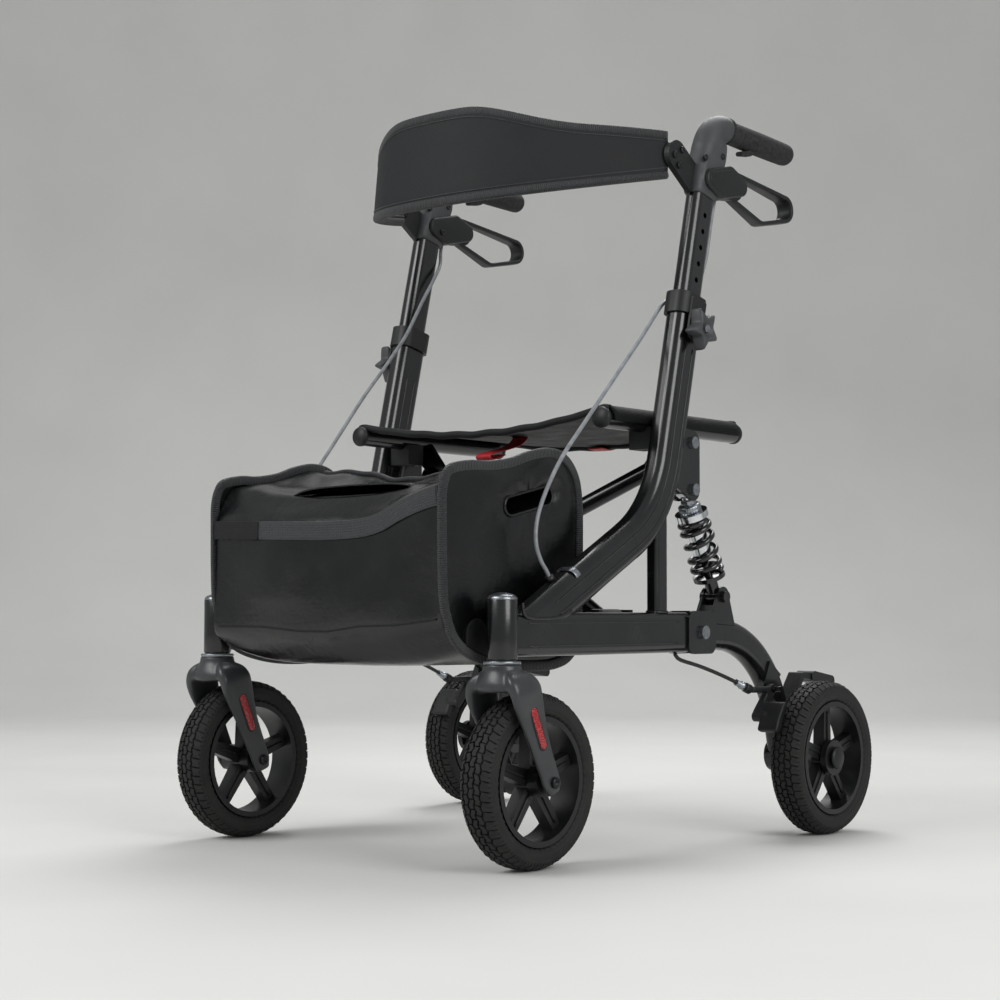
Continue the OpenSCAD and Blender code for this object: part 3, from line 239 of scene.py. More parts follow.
def joined(parts):
    """Several (points, faces) surfaces as one."""
    points, faces, start = [], [], 0
    for part in parts:
        points.append(np.asarray(part[0], float).reshape(-1, 3))
        faces += [[k + start for k in face] for face in part[1]]
        start += len(points[-1])
    return np.vstack(points), faces


def on_side(surface, sign):
    """A surface drawn for the left side, or its mirror image for the right side when sign is -1."""
    return (np.asarray(surface[0], float) * (sign, 1, 1), *surface[1:])


def on_both(name, surface, material, body, slot, node=None, **more):
    """Makes a piece drawn for the left side and its mirror image; body and replaced node are named without
    a side."""
    return [make(f"{side}_{name}", on_side(surface, sign), material, f"{side}_{body}", slot,
                 (f"{side}_{node}",) if node else (), **more) for side, sign in SIDES]


print("sides:", *(side for side, _ in SIDES))

# %% [markdown]
# ## Finishes
# Each finish is one shader whose patterns are worked out from position, in real millimetres: a drift of
# colour, a drift of gloss, and a fine relief such as the orange peel of powder coat or the grain of
# moulded nylon. Pictures could be wrapped round the pieces, but a pattern worked out from position needs
# no unwrapping and stays sharp close up. Threads and ribs follow the piece's own UV map. Colours are
# written as they look on screen and made linear by one function.


# %% Finish tools
def linear(text):
    """A screen colour such as #1a1b1d as linear red, green, blue and alpha."""
    c = np.array([int(text[i:i + 2], 16) / 255 for i in (1, 3, 5)])
    return (*np.where(c < 0.04045, c / 12.92, ((c + 0.055) / 1.055) ** 2.4), 1)


def add(tree, kind, inputs=None, **settings):
    """Adds one node with its settings; an input is a number to set or another node's output to link."""
    made = tree.nodes.new("ShaderNode" + kind)
    for key, value in settings.items():
        setattr(made, key, value)
    for key, value in (inputs or {}).items():
        if isinstance(value, bpy.types.NodeSocket):
            tree.links.new(value, made.inputs[key])
        else:
            made.inputs[key].default_value = value
    return made.outputs


def surface_finish(name, dark, light, gloss, patch_mm, grain_mm, depth_mm, rows=None, **sockets):
    """A finish: colour drifts from dark to light and roughness through the pair gloss in patches of
    patch_mm, over a relief of grain_mm blobs, depth_mm deep. rows adds threads or ribs: (pitch in mm along
    U, along V, depth in mm)."""
    material = bpy.data.materials.new(name)
    material.use_nodes = True
    tree = material.node_tree
    shader = tree.nodes["Principled BSDF"]
    where = add(tree, "TexCoord")
    cloud = add(tree, "TexNoise", {"Vector": where["Object"], "Scale": 1 / (patch_mm * MM),
                                   "Detail": 3.0})["Fac"]
    drift = add(tree, "MapRange", {"Value": cloud, "From Min": 0.3, "From Max": 0.7})["Result"]
    colour = add(tree, "Mix", {0: drift, 6: linear(dark), 7: linear(light)}, data_type="RGBA")[2]
    rough = add(tree, "MapRange", {"Value": cloud, "From Min": 0.3, "From Max": 0.7, "To Min": gloss[0],
                                   "To Max": gloss[1]})["Result"]
    grain = add(tree, "TexNoise", {"Vector": where["Object"], "Scale": 1 / (grain_mm * MM),
                                   "Detail": 2.0})["Fac"]
    normal = add(tree, "Bump", {"Height": grain, "Distance": depth_mm * MM, "Strength": 1.0})["Normal"]
    if rows:
        threads = [add(tree, "TexWave", {"Vector": where["UV"], "Scale": math.pi / (10 * pitch * MM)},
                       bands_direction=axis)["Fac"] for axis, pitch in zip("XY", rows[:2]) if pitch]
        height = threads[0] if len(threads) == 1 else add(tree, "Math", {0: threads[0], 1: threads[1]},
                                                          operation="MULTIPLY")[0]
        normal = add(tree, "Bump", {"Height": height, "Distance": rows[2] * MM, "Strength": 1.0,
                                    "Normal": normal})["Normal"]
    for socket, output in (("Base Color", colour), ("Roughness", rough), ("Normal", normal)):
        tree.links.new(output, shader.inputs[socket])
    for key, value in sockets.items():
        shader.inputs[key.replace("_", " ")].default_value = value
    return material


print("finish tools ready")

# %% [markdown]
# The frame is powder-coated aluminium: baked paint, glossy, with a soft orange peel that breaks up its
# reflections. Clamps, levers and caps are moulded nylon with a fine grain that spreads the light, and
# handles and forks are a greyer kind. Rubber is duller still. Zinc-plated steel and chrome are metals:
# their colour is the colour of their reflections. The springs' enamel is a hard gloss coat, and a
# reflector is a clear red moulding whose small prisms glint.

# %% Hard finishes
powder_coat = surface_finish("gloss_black_powder_coat", "#0a0b0c", "#101112", (0.18, 0.28), 40, 2.5, 0.03,
                             Coat_Weight=0.2, Coat_Roughness=0.1)
nylon = surface_finish("grained_black_nylon", "#111213", "#191a1b", (0.42, 0.54), 30, 0.9, 0.05,
                       Specular_IOR_Level=0.4)
handle_nylon = surface_finish("matte_grey_nylon", "#343537", "#414244", (0.46, 0.58), 40, 0.9, 0.05)
fork_nylon = surface_finish("satin_grey_nylon", "#2b2c2e", "#37383a", (0.3, 0.4), 35, 1.0, 0.03)
rim_nylon = surface_finish("satin_black_rim", "#0e0f0f", "#161717", (0.36, 0.46), 25, 1.1, 0.04,
                           Specular_IOR_Level=0.4)
grip_rubber = surface_finish("textured_grip_rubber", "#151516", "#343435", (0.7, 0.85), 5, 1.8, 0.5,
                             Specular_IOR_Level=0.3)
tyre_rubber = surface_finish("tyre_rubber", "#141414", "#252423", (0.6, 0.78), 16, 1.4, 0.1,
                             Specular_IOR_Level=0.35)
zinc = surface_finish("zinc_plated_steel", "#83878c", "#a3a7ab", (0.25, 0.42), 4, 0.8, 0.01, Metallic=1.0)
black_screw = surface_finish("blackened_steel_screw", "#1b1c1e", "#2c2d2f", (0.3, 0.42), 4, 0.8, 0.02,
                             Metallic=0.6)
chrome = surface_finish("polished_chrome", "#c9ccd0", "#dfe1e3", (0.07, 0.16), 8, 2.0, 0.01, Metallic=1.0)
enamel = surface_finish("gloss_black_enamel", "#0a0b0b", "#101111", (0.14, 0.22), 15, 2.0, 0.02,
                        Coat_Weight=0.4)
red_lens = surface_finish("red_reflector_lens", "#6e060c", "#d01a24", (0.1, 0.2), 2.2, 2.4, 0.3,
                          (2.6, 2.6, 1.2), Coat_Weight=0.5)
print("hard finishes:", len(bpy.data.materials))

# %% [markdown]
# A brake cable's sheath is smooth plastic with an even sheen. The bag is coated nylon, which shines where
# it bulges. Its binding is a ribbed tape, and the webbing along its front edge has loops that catch the
# light in specks. Seat and backrest are woven cloth and look matte. Cloth threads are half a millimetre
# apart on the real object; here they are drawn about three times as coarse, so that they show in the
# render.

# %% Cloth and cable finishes
grey_sheath = surface_finish("silver_cable_sheath", "#6f7275", "#8b8e91", (0.28, 0.38), 10, 1.0, 0.02)
black_sheath = surface_finish("black_cable_sheath", "#101011", "#181819", (0.35, 0.45), 10, 1.0, 0.02)
bag_cloth = surface_finish("coated_bag_nylon", "#060708", "#0c0d0e", (0.14, 0.28), 45, 9.0, 0.45,
                           (1.5, 1.5, 0.06), Specular_IOR_Level=0.45)
binding = surface_finish("ribbed_edge_binding", "#0e0f10", "#292b2e", (0.5, 0.66), 3, 1.0, 0.1, (2.6, 0, 1.0),
                         Sheen_Weight=0.1)
webbing = surface_finish("loop_webbing", "#08090a", "#303236", (0.55, 0.75), 2.4, 1.6, 0.7, (3.0, 3.0, 0.5),
                         Sheen_Weight=0.1)
plain_webbing = surface_finish("plain_webbing", "#0b0c0d", "#151618", (0.55, 0.7), 6, 1.2, 0.1,
                               (2.2, 2.2, 0.3), Specular_IOR_Level=0.3)
seat_cloth = surface_finish("seat_mesh_cloth", "#070809", "#0e0f10", (0.5, 0.66), 30, 2.0, 0.1,
                            (1.8, 1.8, 0.3), Specular_IOR_Level=0.15)
back_cloth = surface_finish("backrest_cloth", "#17181a", "#202123", (0.58, 0.72), 30, 1.5, 0.1,
                            (1.6, 1.6, 0.25), Specular_IOR_Level=0.3)
red_webbing = surface_finish("red_pull_strap", "#8f0f17", "#b81a23", (0.5, 0.65), 6, 1.0, 0.05,
                             (2.0, 2.0, 0.3))
print("all finishes:", len(bpy.data.materials))

# %% [markdown]
# The engineering solids that already have their real shape keep it, because drawing them again could only
# move them away from the engineering model. They get their finish, and all but the tubes get a bevel
# modifier that rounds their edges as a moulding's are rounded.

# %% Finish the kept solids
KEPT = (
    (powder_coat, 0.0, ("main_tube", "lower_tube", "swing_arm", "cross_tube", "handle_post")),
    (nylon, 1.2, ("height_collar", "rail_saddle", "backrest_bracket", "kerb_pedal")),
    (rim_nylon, 1.0, ("front_rim", "rear_rim")),
    (zinc, 0.8, ("frame_bolts",)),
    (black_screw, 0.8, ("rear_axle",)),
    (chrome, 0.8, ("shock_damper",)),
    (enamel, 0.8, ("shock_rod",)),
)
for side, _ in SIDES:
    for material, bevel_mm, names in KEPT:
        for name in names:
            solid = nodes[f"{side}_{name}"]
            solid.data.materials.clear()
            solid.data.materials.append(material)
            if bevel_mm:
                bevel = solid.modifiers.new("rounded_edges", "BEVEL")
                bevel.width = bevel_mm * MM
                bevel.segments = 3
                bevel.limit_method = "ANGLE"
                bevel.angle_limit = math.radians(40)
print("solids kept on each side:", sum(len(names) for _, _, names in KEPT))

# %% [markdown]
# ## Studio
# A pale paper sweep runs from the floor up into the wall behind, with three soft boxes and a pale sky. A
# black object shows its shape by what it mirrors, so the lamps are large and the room is pale. Small lamps
# would only give it a few hard points of light.

# %% Studio
SWEEP_R, SWEEP_FROM, PAPER_FRONT, PAPER_TOP, PAPER_HALF = 1600, 2600, -6000, 7000, 7000
turn = np.linspace(0, np.pi / 2, 17)
run = np.concatenate([[PAPER_FRONT], SWEEP_FROM + SWEEP_R * np.sin(turn), [SWEEP_FROM + SWEEP_R]])
rise = np.concatenate([[0], SWEEP_R - SWEEP_R * np.cos(turn), [PAPER_TOP]])
ends = np.array([-PAPER_HALF, PAPER_HALF])
depth_way = np.array([-math.sin(AZIMUTH), math.cos(AZIMUTH), 0])
paper_points = (run[:, None, None] * depth_way + rise[:, None, None] * np.array([0, 0, 1])
                + ends[None, :, None] * np.array(level))
paper = surface_finish("pale_studio_paper", "#cdcdca", "#d2d2cf", (0.8, 0.9), 400, 8, 0.02)
backdrop = make("studio_sweep", (paper_points, grid_faces(len(run), 2)), paper)


def soft_box(name, at, towards, size, watts):
    """A square area lamp that faces a point."""
    light = bpy.data.lights.new(name, "AREA")
    light.size = size
    light.energy = watts
    lamp = bpy.data.objects.new(name, light)
    aim = (Vector(towards) - Vector(at)).to_track_quat("-Z", "Y")
    lamp.matrix_world = Matrix.Translation(at) @ aim.to_matrix().to_4x4()
    bpy.context.scene.collection.objects.link(lamp)


soft_box("key", (-1.0, -2.8, 2.4), (0, 0, 0.4), 1.8, 66)
soft_box("fill", (2.9, -0.6, 1.6), (0, 0, 0.4), 1.6, 44)
soft_box("top_back", (-0.6, 1.5, 2.9), (0, -0.1, 0.4), 1.8, 60)
world = bpy.data.worlds.new("pale_sky")
world.use_nodes = True
sky = world.node_tree.nodes["Background"]
sky.inputs["Color"].default_value = linear("#e6e8ea")
sky.inputs["Strength"].default_value = 0.5
bpy.context.scene.world = world
bpy.context.scene.view_settings.view_transform = "Standard"
print("studio ready")

# %% [markdown]
# ## Brake cables
# Each handle has a silver outer cable that hangs in one long bow to the front of the main tube, and each
# rear brake a short black one. Both ends go into the object, so nothing is cut off. The two silver cables
# lie a little differently, as loose cables do: the left one stays behind its post down to the collar, and
# the right one comes round to the inner side further up. Both keep near the engineering model's route and
# clear of the cross tubes when these fold. A curve object with a round bevel could draw them too; here a
# round section is carried along a smooth curve.

# %% Cables
UPPER_ROUTES = {
    "left": ((240, 112, 830), (240, 108.5, 818), (240, 102, 795), (240, 96.5, 769), (239, 91.5, 745),
             (235, 87.5, 724), (228.5, 83, 709), (221.8, 75, 699.5), (217.3, 62, 694.5), (215.8, 45, 690),
             (216, 27, 680), (217.3, 7, 661), (219, -21, 633), (222, -60, 597), (225, -104, 556),
             (227, -150, 512), (228, -190, 472), (229, -220, 432), (231, -239, 398), (233, -244, 370),
             (235, -238, 350), (236, -228, 337), (236, -219, 323)),
    "right": ((240, 112, 830), (239.4, 108.3, 820), (235.5, 102.8, 808.5), (228.8, 95.5, 797),
              (222.4, 85.5, 785.5), (219, 74, 772), (218.1, 62, 755), (218.1, 49, 736.5), (218.1, 33, 711),
              (218.1, 13, 680), (219, -7, 655), (223, -31, 624), (227.5, -63, 585), (229.5, -105, 532),
              (230.5, -144, 484), (231, -184, 438), (232, -214, 404), (233.5, -232, 378),
              (235, -236.5, 357), (236, -230.5, 339), (236, -219, 323))}
LOWER_ROUTE = ((244, 14, 238), (245, 24, 231), (249.3, 57, 223), (253.5, 90, 213.5), (257.8, 123, 202.5),
               (262, 156, 190))
CABLE_D, CURVE_STEPS = 5, 6
for side, sign in SIDES:
    for kind, route, material, slot, bodies in (
            ("upper", UPPER_ROUTES[side], grey_sheath, "cable_grey", (f"{side}_post", f"{side}_frame")),
            ("lower", LOWER_ROUTE, black_sheath, "cable_black", (f"{side}_frame", f"{side}_arm"))):
        path = smooth_path(np.array(route, float) * (sign, 1, 1), CURVE_STEPS)
        cable = make(f"{side}_{kind}_brake_cable", sweep(path, ring(CABLE_D / 2, 12), (1, 0, 0)), material,
                     None, slot, (f"{side}_{kind}_cable",))
        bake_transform(cable)

# %% [markdown]
# ## Tyres
# A tyre is a ring: one parameter goes round the axle, the other across the section, which is a rounded
# square. The tread stands in five rows of blocks. Grooves are pressed into the ring where the rows meet
# and across each row, half a pitch apart from row to row. The long grooves wave from side to side, the
# pattern leans into a shallow arrow, and short cuts run down over the shoulders. The blocks could be cut
# out with booleans, but pressing the grooves into one grid keeps a clean, closed skin.

# %% Tyres
WHEEL_R, SEAT_R, TYRE_HALF, FULLNESS = 100.0, 71.0, 22.5, 2.6
MID_R, DEEP = (WHEEL_R + SEAT_R) / 2, (WHEEL_R - SEAT_R) / 2
TREAD_HALF, ROWS, PITCHES, GROOVE, WAVE, SHOULDER = 20.0, 5, 54, 3.0, 1.3, 4
WALL_STEPS, WALL_LINES, LINE_DEPTH, ARROW = 20, [4, 8, 12], 0.7, 0.45
SEAM_PROFILE, SHARP_EDGE = np.array([-1.3, -0.8, 0.8, 1.3]), math.radians(35)
CUTS = np.array([0, 0.03, 0.14, 0.17, 0.5, 0.53, 0.64, 0.67])
EVEN_GAP, ODD_GAP = (1, 2), (5, 6)  # which of the cuts lie in the groove of an even and of an odd row
WALL_FROM, WALL_TO, NOTCH_DEEP, NOTCH_SHALLOW = 1.04, np.pi - 0.05, 1.8, 0.6
AXLES = {"front": (SIDE_X, -264, 100), "rear": (303, 264, 100)}


def tyre(centre):
    """Radius at half-width w is middle + deep (1 - |w / half|^2.6)^(1/2.6); grooves are taken off that
    radius."""
    angle = 2 * np.pi * (np.arange(PITCHES)[:, None] + CUTS[None]).ravel() / PITCHES
    cut = np.tile(np.arange(len(CUTS)), PITCHES)
    seams = np.linspace(-TREAD_HALF, TREAD_HALF, ROWS + 1)
    across = np.concatenate([seams[:1]] + [s + SEAM_PROFILE for s in seams[1:-1]] + [seams[-1:]])
    row = np.clip(np.searchsorted(seams, across) - 1, 0, ROWS - 1)
    in_seam = np.concatenate([[0], np.tile([0, 1, 1, 0], ROWS - 1), [0]])
    wall_turn = np.linspace(WALL_FROM, WALL_TO, WALL_STEPS)
    power = 2 / FULLNESS
    wall_w = TYRE_HALF * np.sin(wall_turn) ** power
    wall_r = MID_R + DEEP * signed_power(np.cos(wall_turn), power)
    lines = np.zeros(WALL_STEPS)
    lines[WALL_LINES] = LINE_DEPTH
    tread_r = MID_R + DEEP * (1 - (np.abs(across) / TYRE_HALF) ** FULLNESS) ** (1 / FULLNESS)
    w = np.concatenate([-(wall_w - lines)[::-1], across, wall_w - lines])
    r = np.concatenate([wall_r[::-1], tread_r, wall_r])
    tread = slice(WALL_STEPS, WALL_STEPS + len(across))
    depth = np.zeros((len(angle), len(w)))
    gap = np.where(row[None] % 2 == 0, np.isin(cut, EVEN_GAP)[:, None], np.isin(cut, ODD_GAP)[:, None])
    depth[:, tread] = GROOVE * np.maximum(gap, in_seam[None] > 0)
    fade = np.linspace(NOTCH_DEEP, NOTCH_SHALLOW, SHOULDER)
    notch = np.isin(cut, EVEN_GAP + ODD_GAP)[:, None] * fade[None]
    depth[:, tread.stop:tread.stop + SHOULDER] = notch
    depth[:, tread.start - SHOULDER:tread.start] = notch[:, ::-1]
    inner = (np.abs(w) < TREAD_HALF - 0.1)[None]
    wide = w[None] + WAVE * inner * np.sin(PITCHES * angle)[:, None]
    arrow = ARROW * 2 * np.pi / PITCHES * np.minimum(np.abs(w) / TREAD_HALF, 1)
    a = angle[:, None] + arrow[None]
    radius = r[None] - depth
    points = np.stack([wide, radius * np.cos(a), radius * np.sin(a)], -1)
    return points.reshape(-1, 3) + np.array(centre, float), grid_faces(len(angle), len(w), True, True)


for end, at in AXLES.items():
    tyres = on_both(f"{end}_treaded_tyre", tyre(at), tyre_rubber, f"{end}_wheel", "tyre", f"{end}_tyre")
    for rubber in tyres:
        rubber.data.set_sharp_from_angle(angle=SHARP_EDGE)
print("tyre points:", len(rubber.data.vertices))

# %% [markdown]
# ## Coil springs
# A spring is a wire carried along a helix whose coils lie closer together at both ends; a screw modifier
# would space them evenly.

# %% Springs
EYE_TOP, SHOCK_WAY = np.array([SIDE_X, 41.71, 444.0]), np.array([0, 0.4434, -0.8963])
SPRING_R, WIRE_D, TURNS, SPRING_FROM, SPRING_RISE, CLOSING = 18.5, 7, 5, 41.9, 70.7, 0.42
SPRING_SEAT, SPRING_KEEP, TURN_STEPS = 38, 0.897, 28


def spring():
    """Helix: radius times the angle's cosine and sine across the axis; it rises by t - closing sin(2 pi t)
    / (2 pi)."""
    t = np.linspace(0, 1, TURNS * TURN_STEPS + 1)
    side_way = np.array([1, 0, 0])
    third = np.cross(SHOCK_WAY, side_way)
    a = 2 * np.pi * TURNS * t
    rise = t - CLOSING * np.sin(2 * np.pi * t) / (2 * np.pi)
    path = (EYE_TOP + (SPRING_FROM + SPRING_RISE * rise)[:, None] * SHOCK_WAY
            + SPRING_R * (np.cos(a)[:, None] * side_way + np.sin(a)[:, None] * third))
    return sweep(path, ring(WIRE_D / 2, 12), SHOCK_WAY)


coils = on_both("coil_spring", spring(), enamel, "damper", "spring_black", "shock_spring")
for (side, sign), coil in zip(SIDES, coils):
    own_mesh(coil)
print("spring turns:", TURNS)

# %% [markdown]
# ## Moulded forks
# The real fork is one smooth moulding: a dome over the wheel that runs out into two legs. Dome and legs
# are drawn apart, then melted together: the piece is remeshed in small cubes and relaxed, so every join
# becomes a soft one, where a boolean union would leave a crease. The brake shoe starts from a merged copy
# of its engineering solid and is melted the same way.


# %% Forks
def melt(piece, cube_mm, passes):
    """Remeshes a piece in cubes, then moves each point half way to the mean of its neighbours, several
    times over."""
    cubes = piece.modifiers.new("cubes", "REMESH")
    cubes.mode = "VOXEL"
    cubes.voxel_size = cube_mm * MM
    relax = piece.modifiers.new("relax", "SMOOTH")
    relax.factor = 0.5
    relax.iterations = passes
    piece.data = bpy.data.meshes.new_from_object(piece.evaluated_get(bpy.context.evaluated_depsgraph_get()))
    piece.modifiers.clear()
    piece.data.polygons.foreach_set("use_smooth", [True] * len(piece.data.polygons))


STEM = np.array([SIDE_X, -311])
DOME_TOP, DOME_DRAWN_IN, DOME_DROP, LEG_TILT = 232, 0.25, 24, 0.5
DOME = [(0.01, 232), (20.6, 232), (21.8, 231), (22, 227), (24.4, 222.5), (29, 217), (33.5, 211),
        (35.5, 205), (34, 202), (30, 201), (0.01, 201)]
LEG = np.array([(10, -311, 217), (24, -310.5, 213), (31.5, -309, 205), (33, -305, 192), (33, -298, 174),
                (33, -289, 152), (33, -279, 130), (33, -270, 112), (33, -264.5, 99), (33, -260, 87)], float)
LEG_WIDE = np.array([13, 22, 24, 24, 21, 17, 15.5, 14.5, 14, 9])
LEG_THICK = np.array([11, 10, 8, 6, 4.4, 4.2, 4.2, 4.2, 4.2, 3.6])


def fork():
    """Dome: a turned profile drawn in front to back by up to a quarter. Legs: rounded boxes along a line
    that swings out from the dome and back to the axle, their half-sizes given at each point of the line
    and smoothed between."""
    points, faces = turned(DOME, (*STEM, 0), (0, 0, 1), 48)
    drop = np.clip((DOME_TOP - points[:, 2:]) / DOME_DROP, 0, 1)
    depth = STEM[1] + (points[:, 1:2] - STEM[1]) * (1 - DOME_DRAWN_IN * drop)
    parts = [(np.hstack([points[:, :1], depth, points[:, 2:]]), faces)]
    sizes = smooth_path(np.column_stack([LEG_THICK, LEG_WIDE]), CURVE_STEPS)
    section = rounded_box(1, 1, 3.4, 32)[None] * sizes[:, None]
    tilt = np.linspace(LEG_TILT, 0, 4 * CURVE_STEPS)
    for way in (1, -1):
        line = smooth_path(LEG * (way, 1, 1) + (STEM[0], 0, 0), CURVE_STEPS)
        upward = np.pad(tilt, (0, len(line) - len(tilt)))
        parts.append(sweep(line, section, np.column_stack([np.full(len(line), way), 0 * upward, upward])))
    return joined(parts)


for moulding in on_both("moulded_fork", fork(), fork_nylon, "caster", "fork_black", "fork"):
    melt(moulding, 1.6, 8)
for side, _ in SIDES:
    source = nodes[f"{side}_brake_shoe"].data
    source_points = np.empty(len(source.vertices) * 3)
    source.vertices.foreach_get("co", source_points)
    source_faces = [list(face.vertices) for face in source.polygons]
    shoe = make(f"{side}_moulded_brake_shoe", (source_points / MM, source_faces), nylon, f"{side}_brake",
                "moulded_black", (f"{side}_brake_shoe",), weld=0.001)
    melt(shoe, 1.6, 6)
print("fork points:", len(moulding.data.vertices))

# %% [markdown]
# ## Handles
# The elbow is lofted: its section starts as the rounded box of the sleeve round the post and turns into a
# circle where the grip begins, along a straight line and an arc. A bent cylinder would miss that change of
# section. Lever, housing and knob are plates with rounded edges, loops of strap and turned lobes, so these
# come from a few tools.

# %% Handle tools
POST_WAY = np.array([0, 0.22495, 0.97437])
TUBE_TOP = np.array([SIDE_X, 45.27, 684.0])
ELBOW_AT, ELBOW_R = np.array([131.7, 880.6]), 40.0
GRIP_WAY = np.array([0, 0.99939, -0.0349])
GRIP_START = np.array([SIDE_X, 133.1, 920.6])
LEVER_AT = np.array([133.06, 847.69])


def wrapped(discs, count=72):
    """Outline of the hull of discs (y, z, radius): in each direction, the point of the disc that reaches
    furthest."""
    discs = np.asarray(discs, float)
    a = np.linspace(0, 2 * np.pi, count, endpoint=False)
    way = np.stack([np.cos(a), np.sin(a)], 1)
    best = np.argmax(way @ discs[:, :2].T + discs[:, 2], 1)
    return discs[best, :2] + discs[best, 2:] * way


def plate(discs, x_from, x_to, edge):
    """A flat piece with rounded edges: the hull of discs is drawn in along a quarter circle towards each
    face."""
    turn = np.linspace(0, np.pi / 2, 5)
    inset = np.concatenate([edge * (1 - np.sin(turn)), edge * (1 - np.sin(turn[::-1]))])
    x = np.concatenate([x_from + edge * (1 - np.cos(turn)), x_to - edge * (1 - np.cos(turn[::-1]))])
    rings = [wrapped(np.asarray(discs, float) - (0, 0, i)) for i in inset]
    points = np.stack([np.column_stack([np.full(len(r), v), r]) for r, v in zip(rings, x)])
    return points.reshape(-1, 3), tube_faces(*points.shape[:2]), points[..., 1:].reshape(-1, 2)


def hexagon(a):
    """Radius of a hexagon at angle a, 1 at its corners: cos 30 over the cosine of the angle from a side's
    middle."""
    return np.cos(np.pi / 6) / np.cos((a % (np.pi / 3)) - np.pi / 6)


def cap_screw(at, way, head_d):
    """A socket screw: a domed head with a hexagonal hole."""
    r = head_d / 2
    profile = [(r, -0.5), (r, r * 0.45), (r * 0.88, r * 0.65), (r * 0.62, r * 0.7), (r * 0.5, r * 0.66),
               (r * 0.46, r * 0.2), (0.01, r * 0.2)]
    return turned(profile, at, way, 24, ([0, 0, 0, 0, 0.9, 1, 0], hexagon))


print("handle tools ready")

# %% [markdown]
# One handle: elbow, grip with its rounded end and finger hook, lever housing in two cheeks, and screws.
# The elbow and the web below it are melted into one moulding, as the forks were.

# %% Handles
ELBOW_RING, STRAIGHT_STEPS, ARC_STEPS = 40, 14, 26
SLEEVE_HALF, SLEEVE_POWER, CIRCLE_POWER, LIP = (15.6, 24.6), 3.2, 2.0, 1.5
TO_CIRCLE, TO_GRIP = (3.4, -5.2), (-1.0, -1.4)


def elbow():
    """Path: straight up the post, then an arc to the grip; half-sizes and squareness slide from sleeve to
    circle."""
    up_run = np.linspace(142, 203, STRAIGHT_STEPS)
    straight = TUBE_TOP[1:] + up_run[:, None] * POST_WAY[1:]
    a = np.radians(np.linspace(167, 88, ARC_STEPS))
    arc = ELBOW_AT + ELBOW_R * np.stack([np.cos(a), np.sin(a)], 1)
    line = np.vstack([straight, arc])
    t = np.concatenate([np.zeros(6), np.linspace(0, 1, 12), np.ones(len(line) - 18)])
    t = t * t * (3 - 2 * t)
    near_end = np.linspace(0, 1, len(line)) ** 6
    half_x, half_d = (size + t * change + near_end * last
                      for size, change, last in zip(SLEEVE_HALF, TO_CIRCLE, TO_GRIP))
    half_x[0] -= LIP
    half_d[0] -= LIP
    along = np.gradient(line, axis=0)
    along /= np.linalg.norm(along, axis=1, keepdims=True)
    across = np.stack([-along[:, 1], along[:, 0]], 1)
    power = SLEEVE_POWER - (SLEEVE_POWER - CIRCLE_POWER) * t
    c = np.linspace(0, 2 * np.pi, ELBOW_RING, endpoint=False)
    u, v = (signed_power(wave, 2 / power[:, None]) for wave in (np.cos(c), np.sin(c)))
    points = np.empty((len(line), ELBOW_RING, 3))
    points[..., 0] = SIDE_X + half_x[:, None] * u
    points[..., 1:] = line[:, None] + (half_d[:, None] * v)[..., None] * across[:, None]
    return points.reshape(-1, 3), tube_faces(len(line), ELBOW_RING)


GRIP = [(16.5, 0.5), (18, 1.6), (18.2, 4), (17.6, 6.2), (15.4, 7.4), (15, 10), (15.3, 40), (15.6, 80),
        (15.3, 120), (15, 143), (14.4, 147.5), (12.8, 150.6), (10, 152), (4, 152.3), (0.01, 152.4)]
HOUSING = [(80, 845, 14), (122, 855, 14), (146, 846, 13), (102, 836, 13)]
WEB = [(84, 848, 22), (90, 866, 22), (101, 880, 19), (108, 892, 14)]
HOOK = [(170, 897, 3), (190, 901, 4), (206, 906, 1.6)]
SCREW_D = 8.5
OUTER_SCREWS = ((255.4, 67, 871), (254.6, 107, 879), (244, 16, 867), (244, 32, 876), (244, 25, 855))
INNER_SCREWS = ((224.6, 67, 871), (225.4, 107, 879), (236, 16, 867), (236, 29, 857), (219, 88, 838))
web = plate(WEB, 224, 256, 7)
for shell in on_both("elbow", joined([elbow(), web]), handle_nylon, "post", "moulded_black", "handle_body"):
    melt(shell, 1.5, 4)
on_both("rubber_grip", turned(GRIP, GRIP_START, GRIP_WAY, 48), grip_rubber, "post", "grip_rubber", "grip")
on_both("finger_hook", plate(HOOK, 235, 245, 1.5), grip_rubber, "post", "grip_rubber")
cheeks = [plate(HOUSING, x_from, x_from + 13.5, 4) for x_from in (219, 247.5)]
core = plate([(80, 845, 13), (100, 843, 13)], 230, 250, 2)
cover = plate(np.array(HOUSING) - (0, 0, 5), 258, 261.8, 1.2)
on_both("lever_housing", joined([*cheeks, core, cover]), nylon, "post", "moulded_black")
screws = [cap_screw(at, (1, 0, 0), SCREW_D) for at in OUTER_SCREWS]
screws += [cap_screw(at, (-1, 0, 0), SCREW_D) for at in INNER_SCREWS]
on_both("handle_screws", joined(screws), black_screw, "post", "zinc_steel")
print("elbow points:", len(shell.data.vertices))

# %% [markdown]
# The brake lever is a closed loop of strap that is narrow at its root and wide where the fingers pull, so
# its section changes along the outline of three discs. The height knob is a turned disc whose rim swells
# into five points, with a nut in the middle. One factor on the radius draws all five points at once.

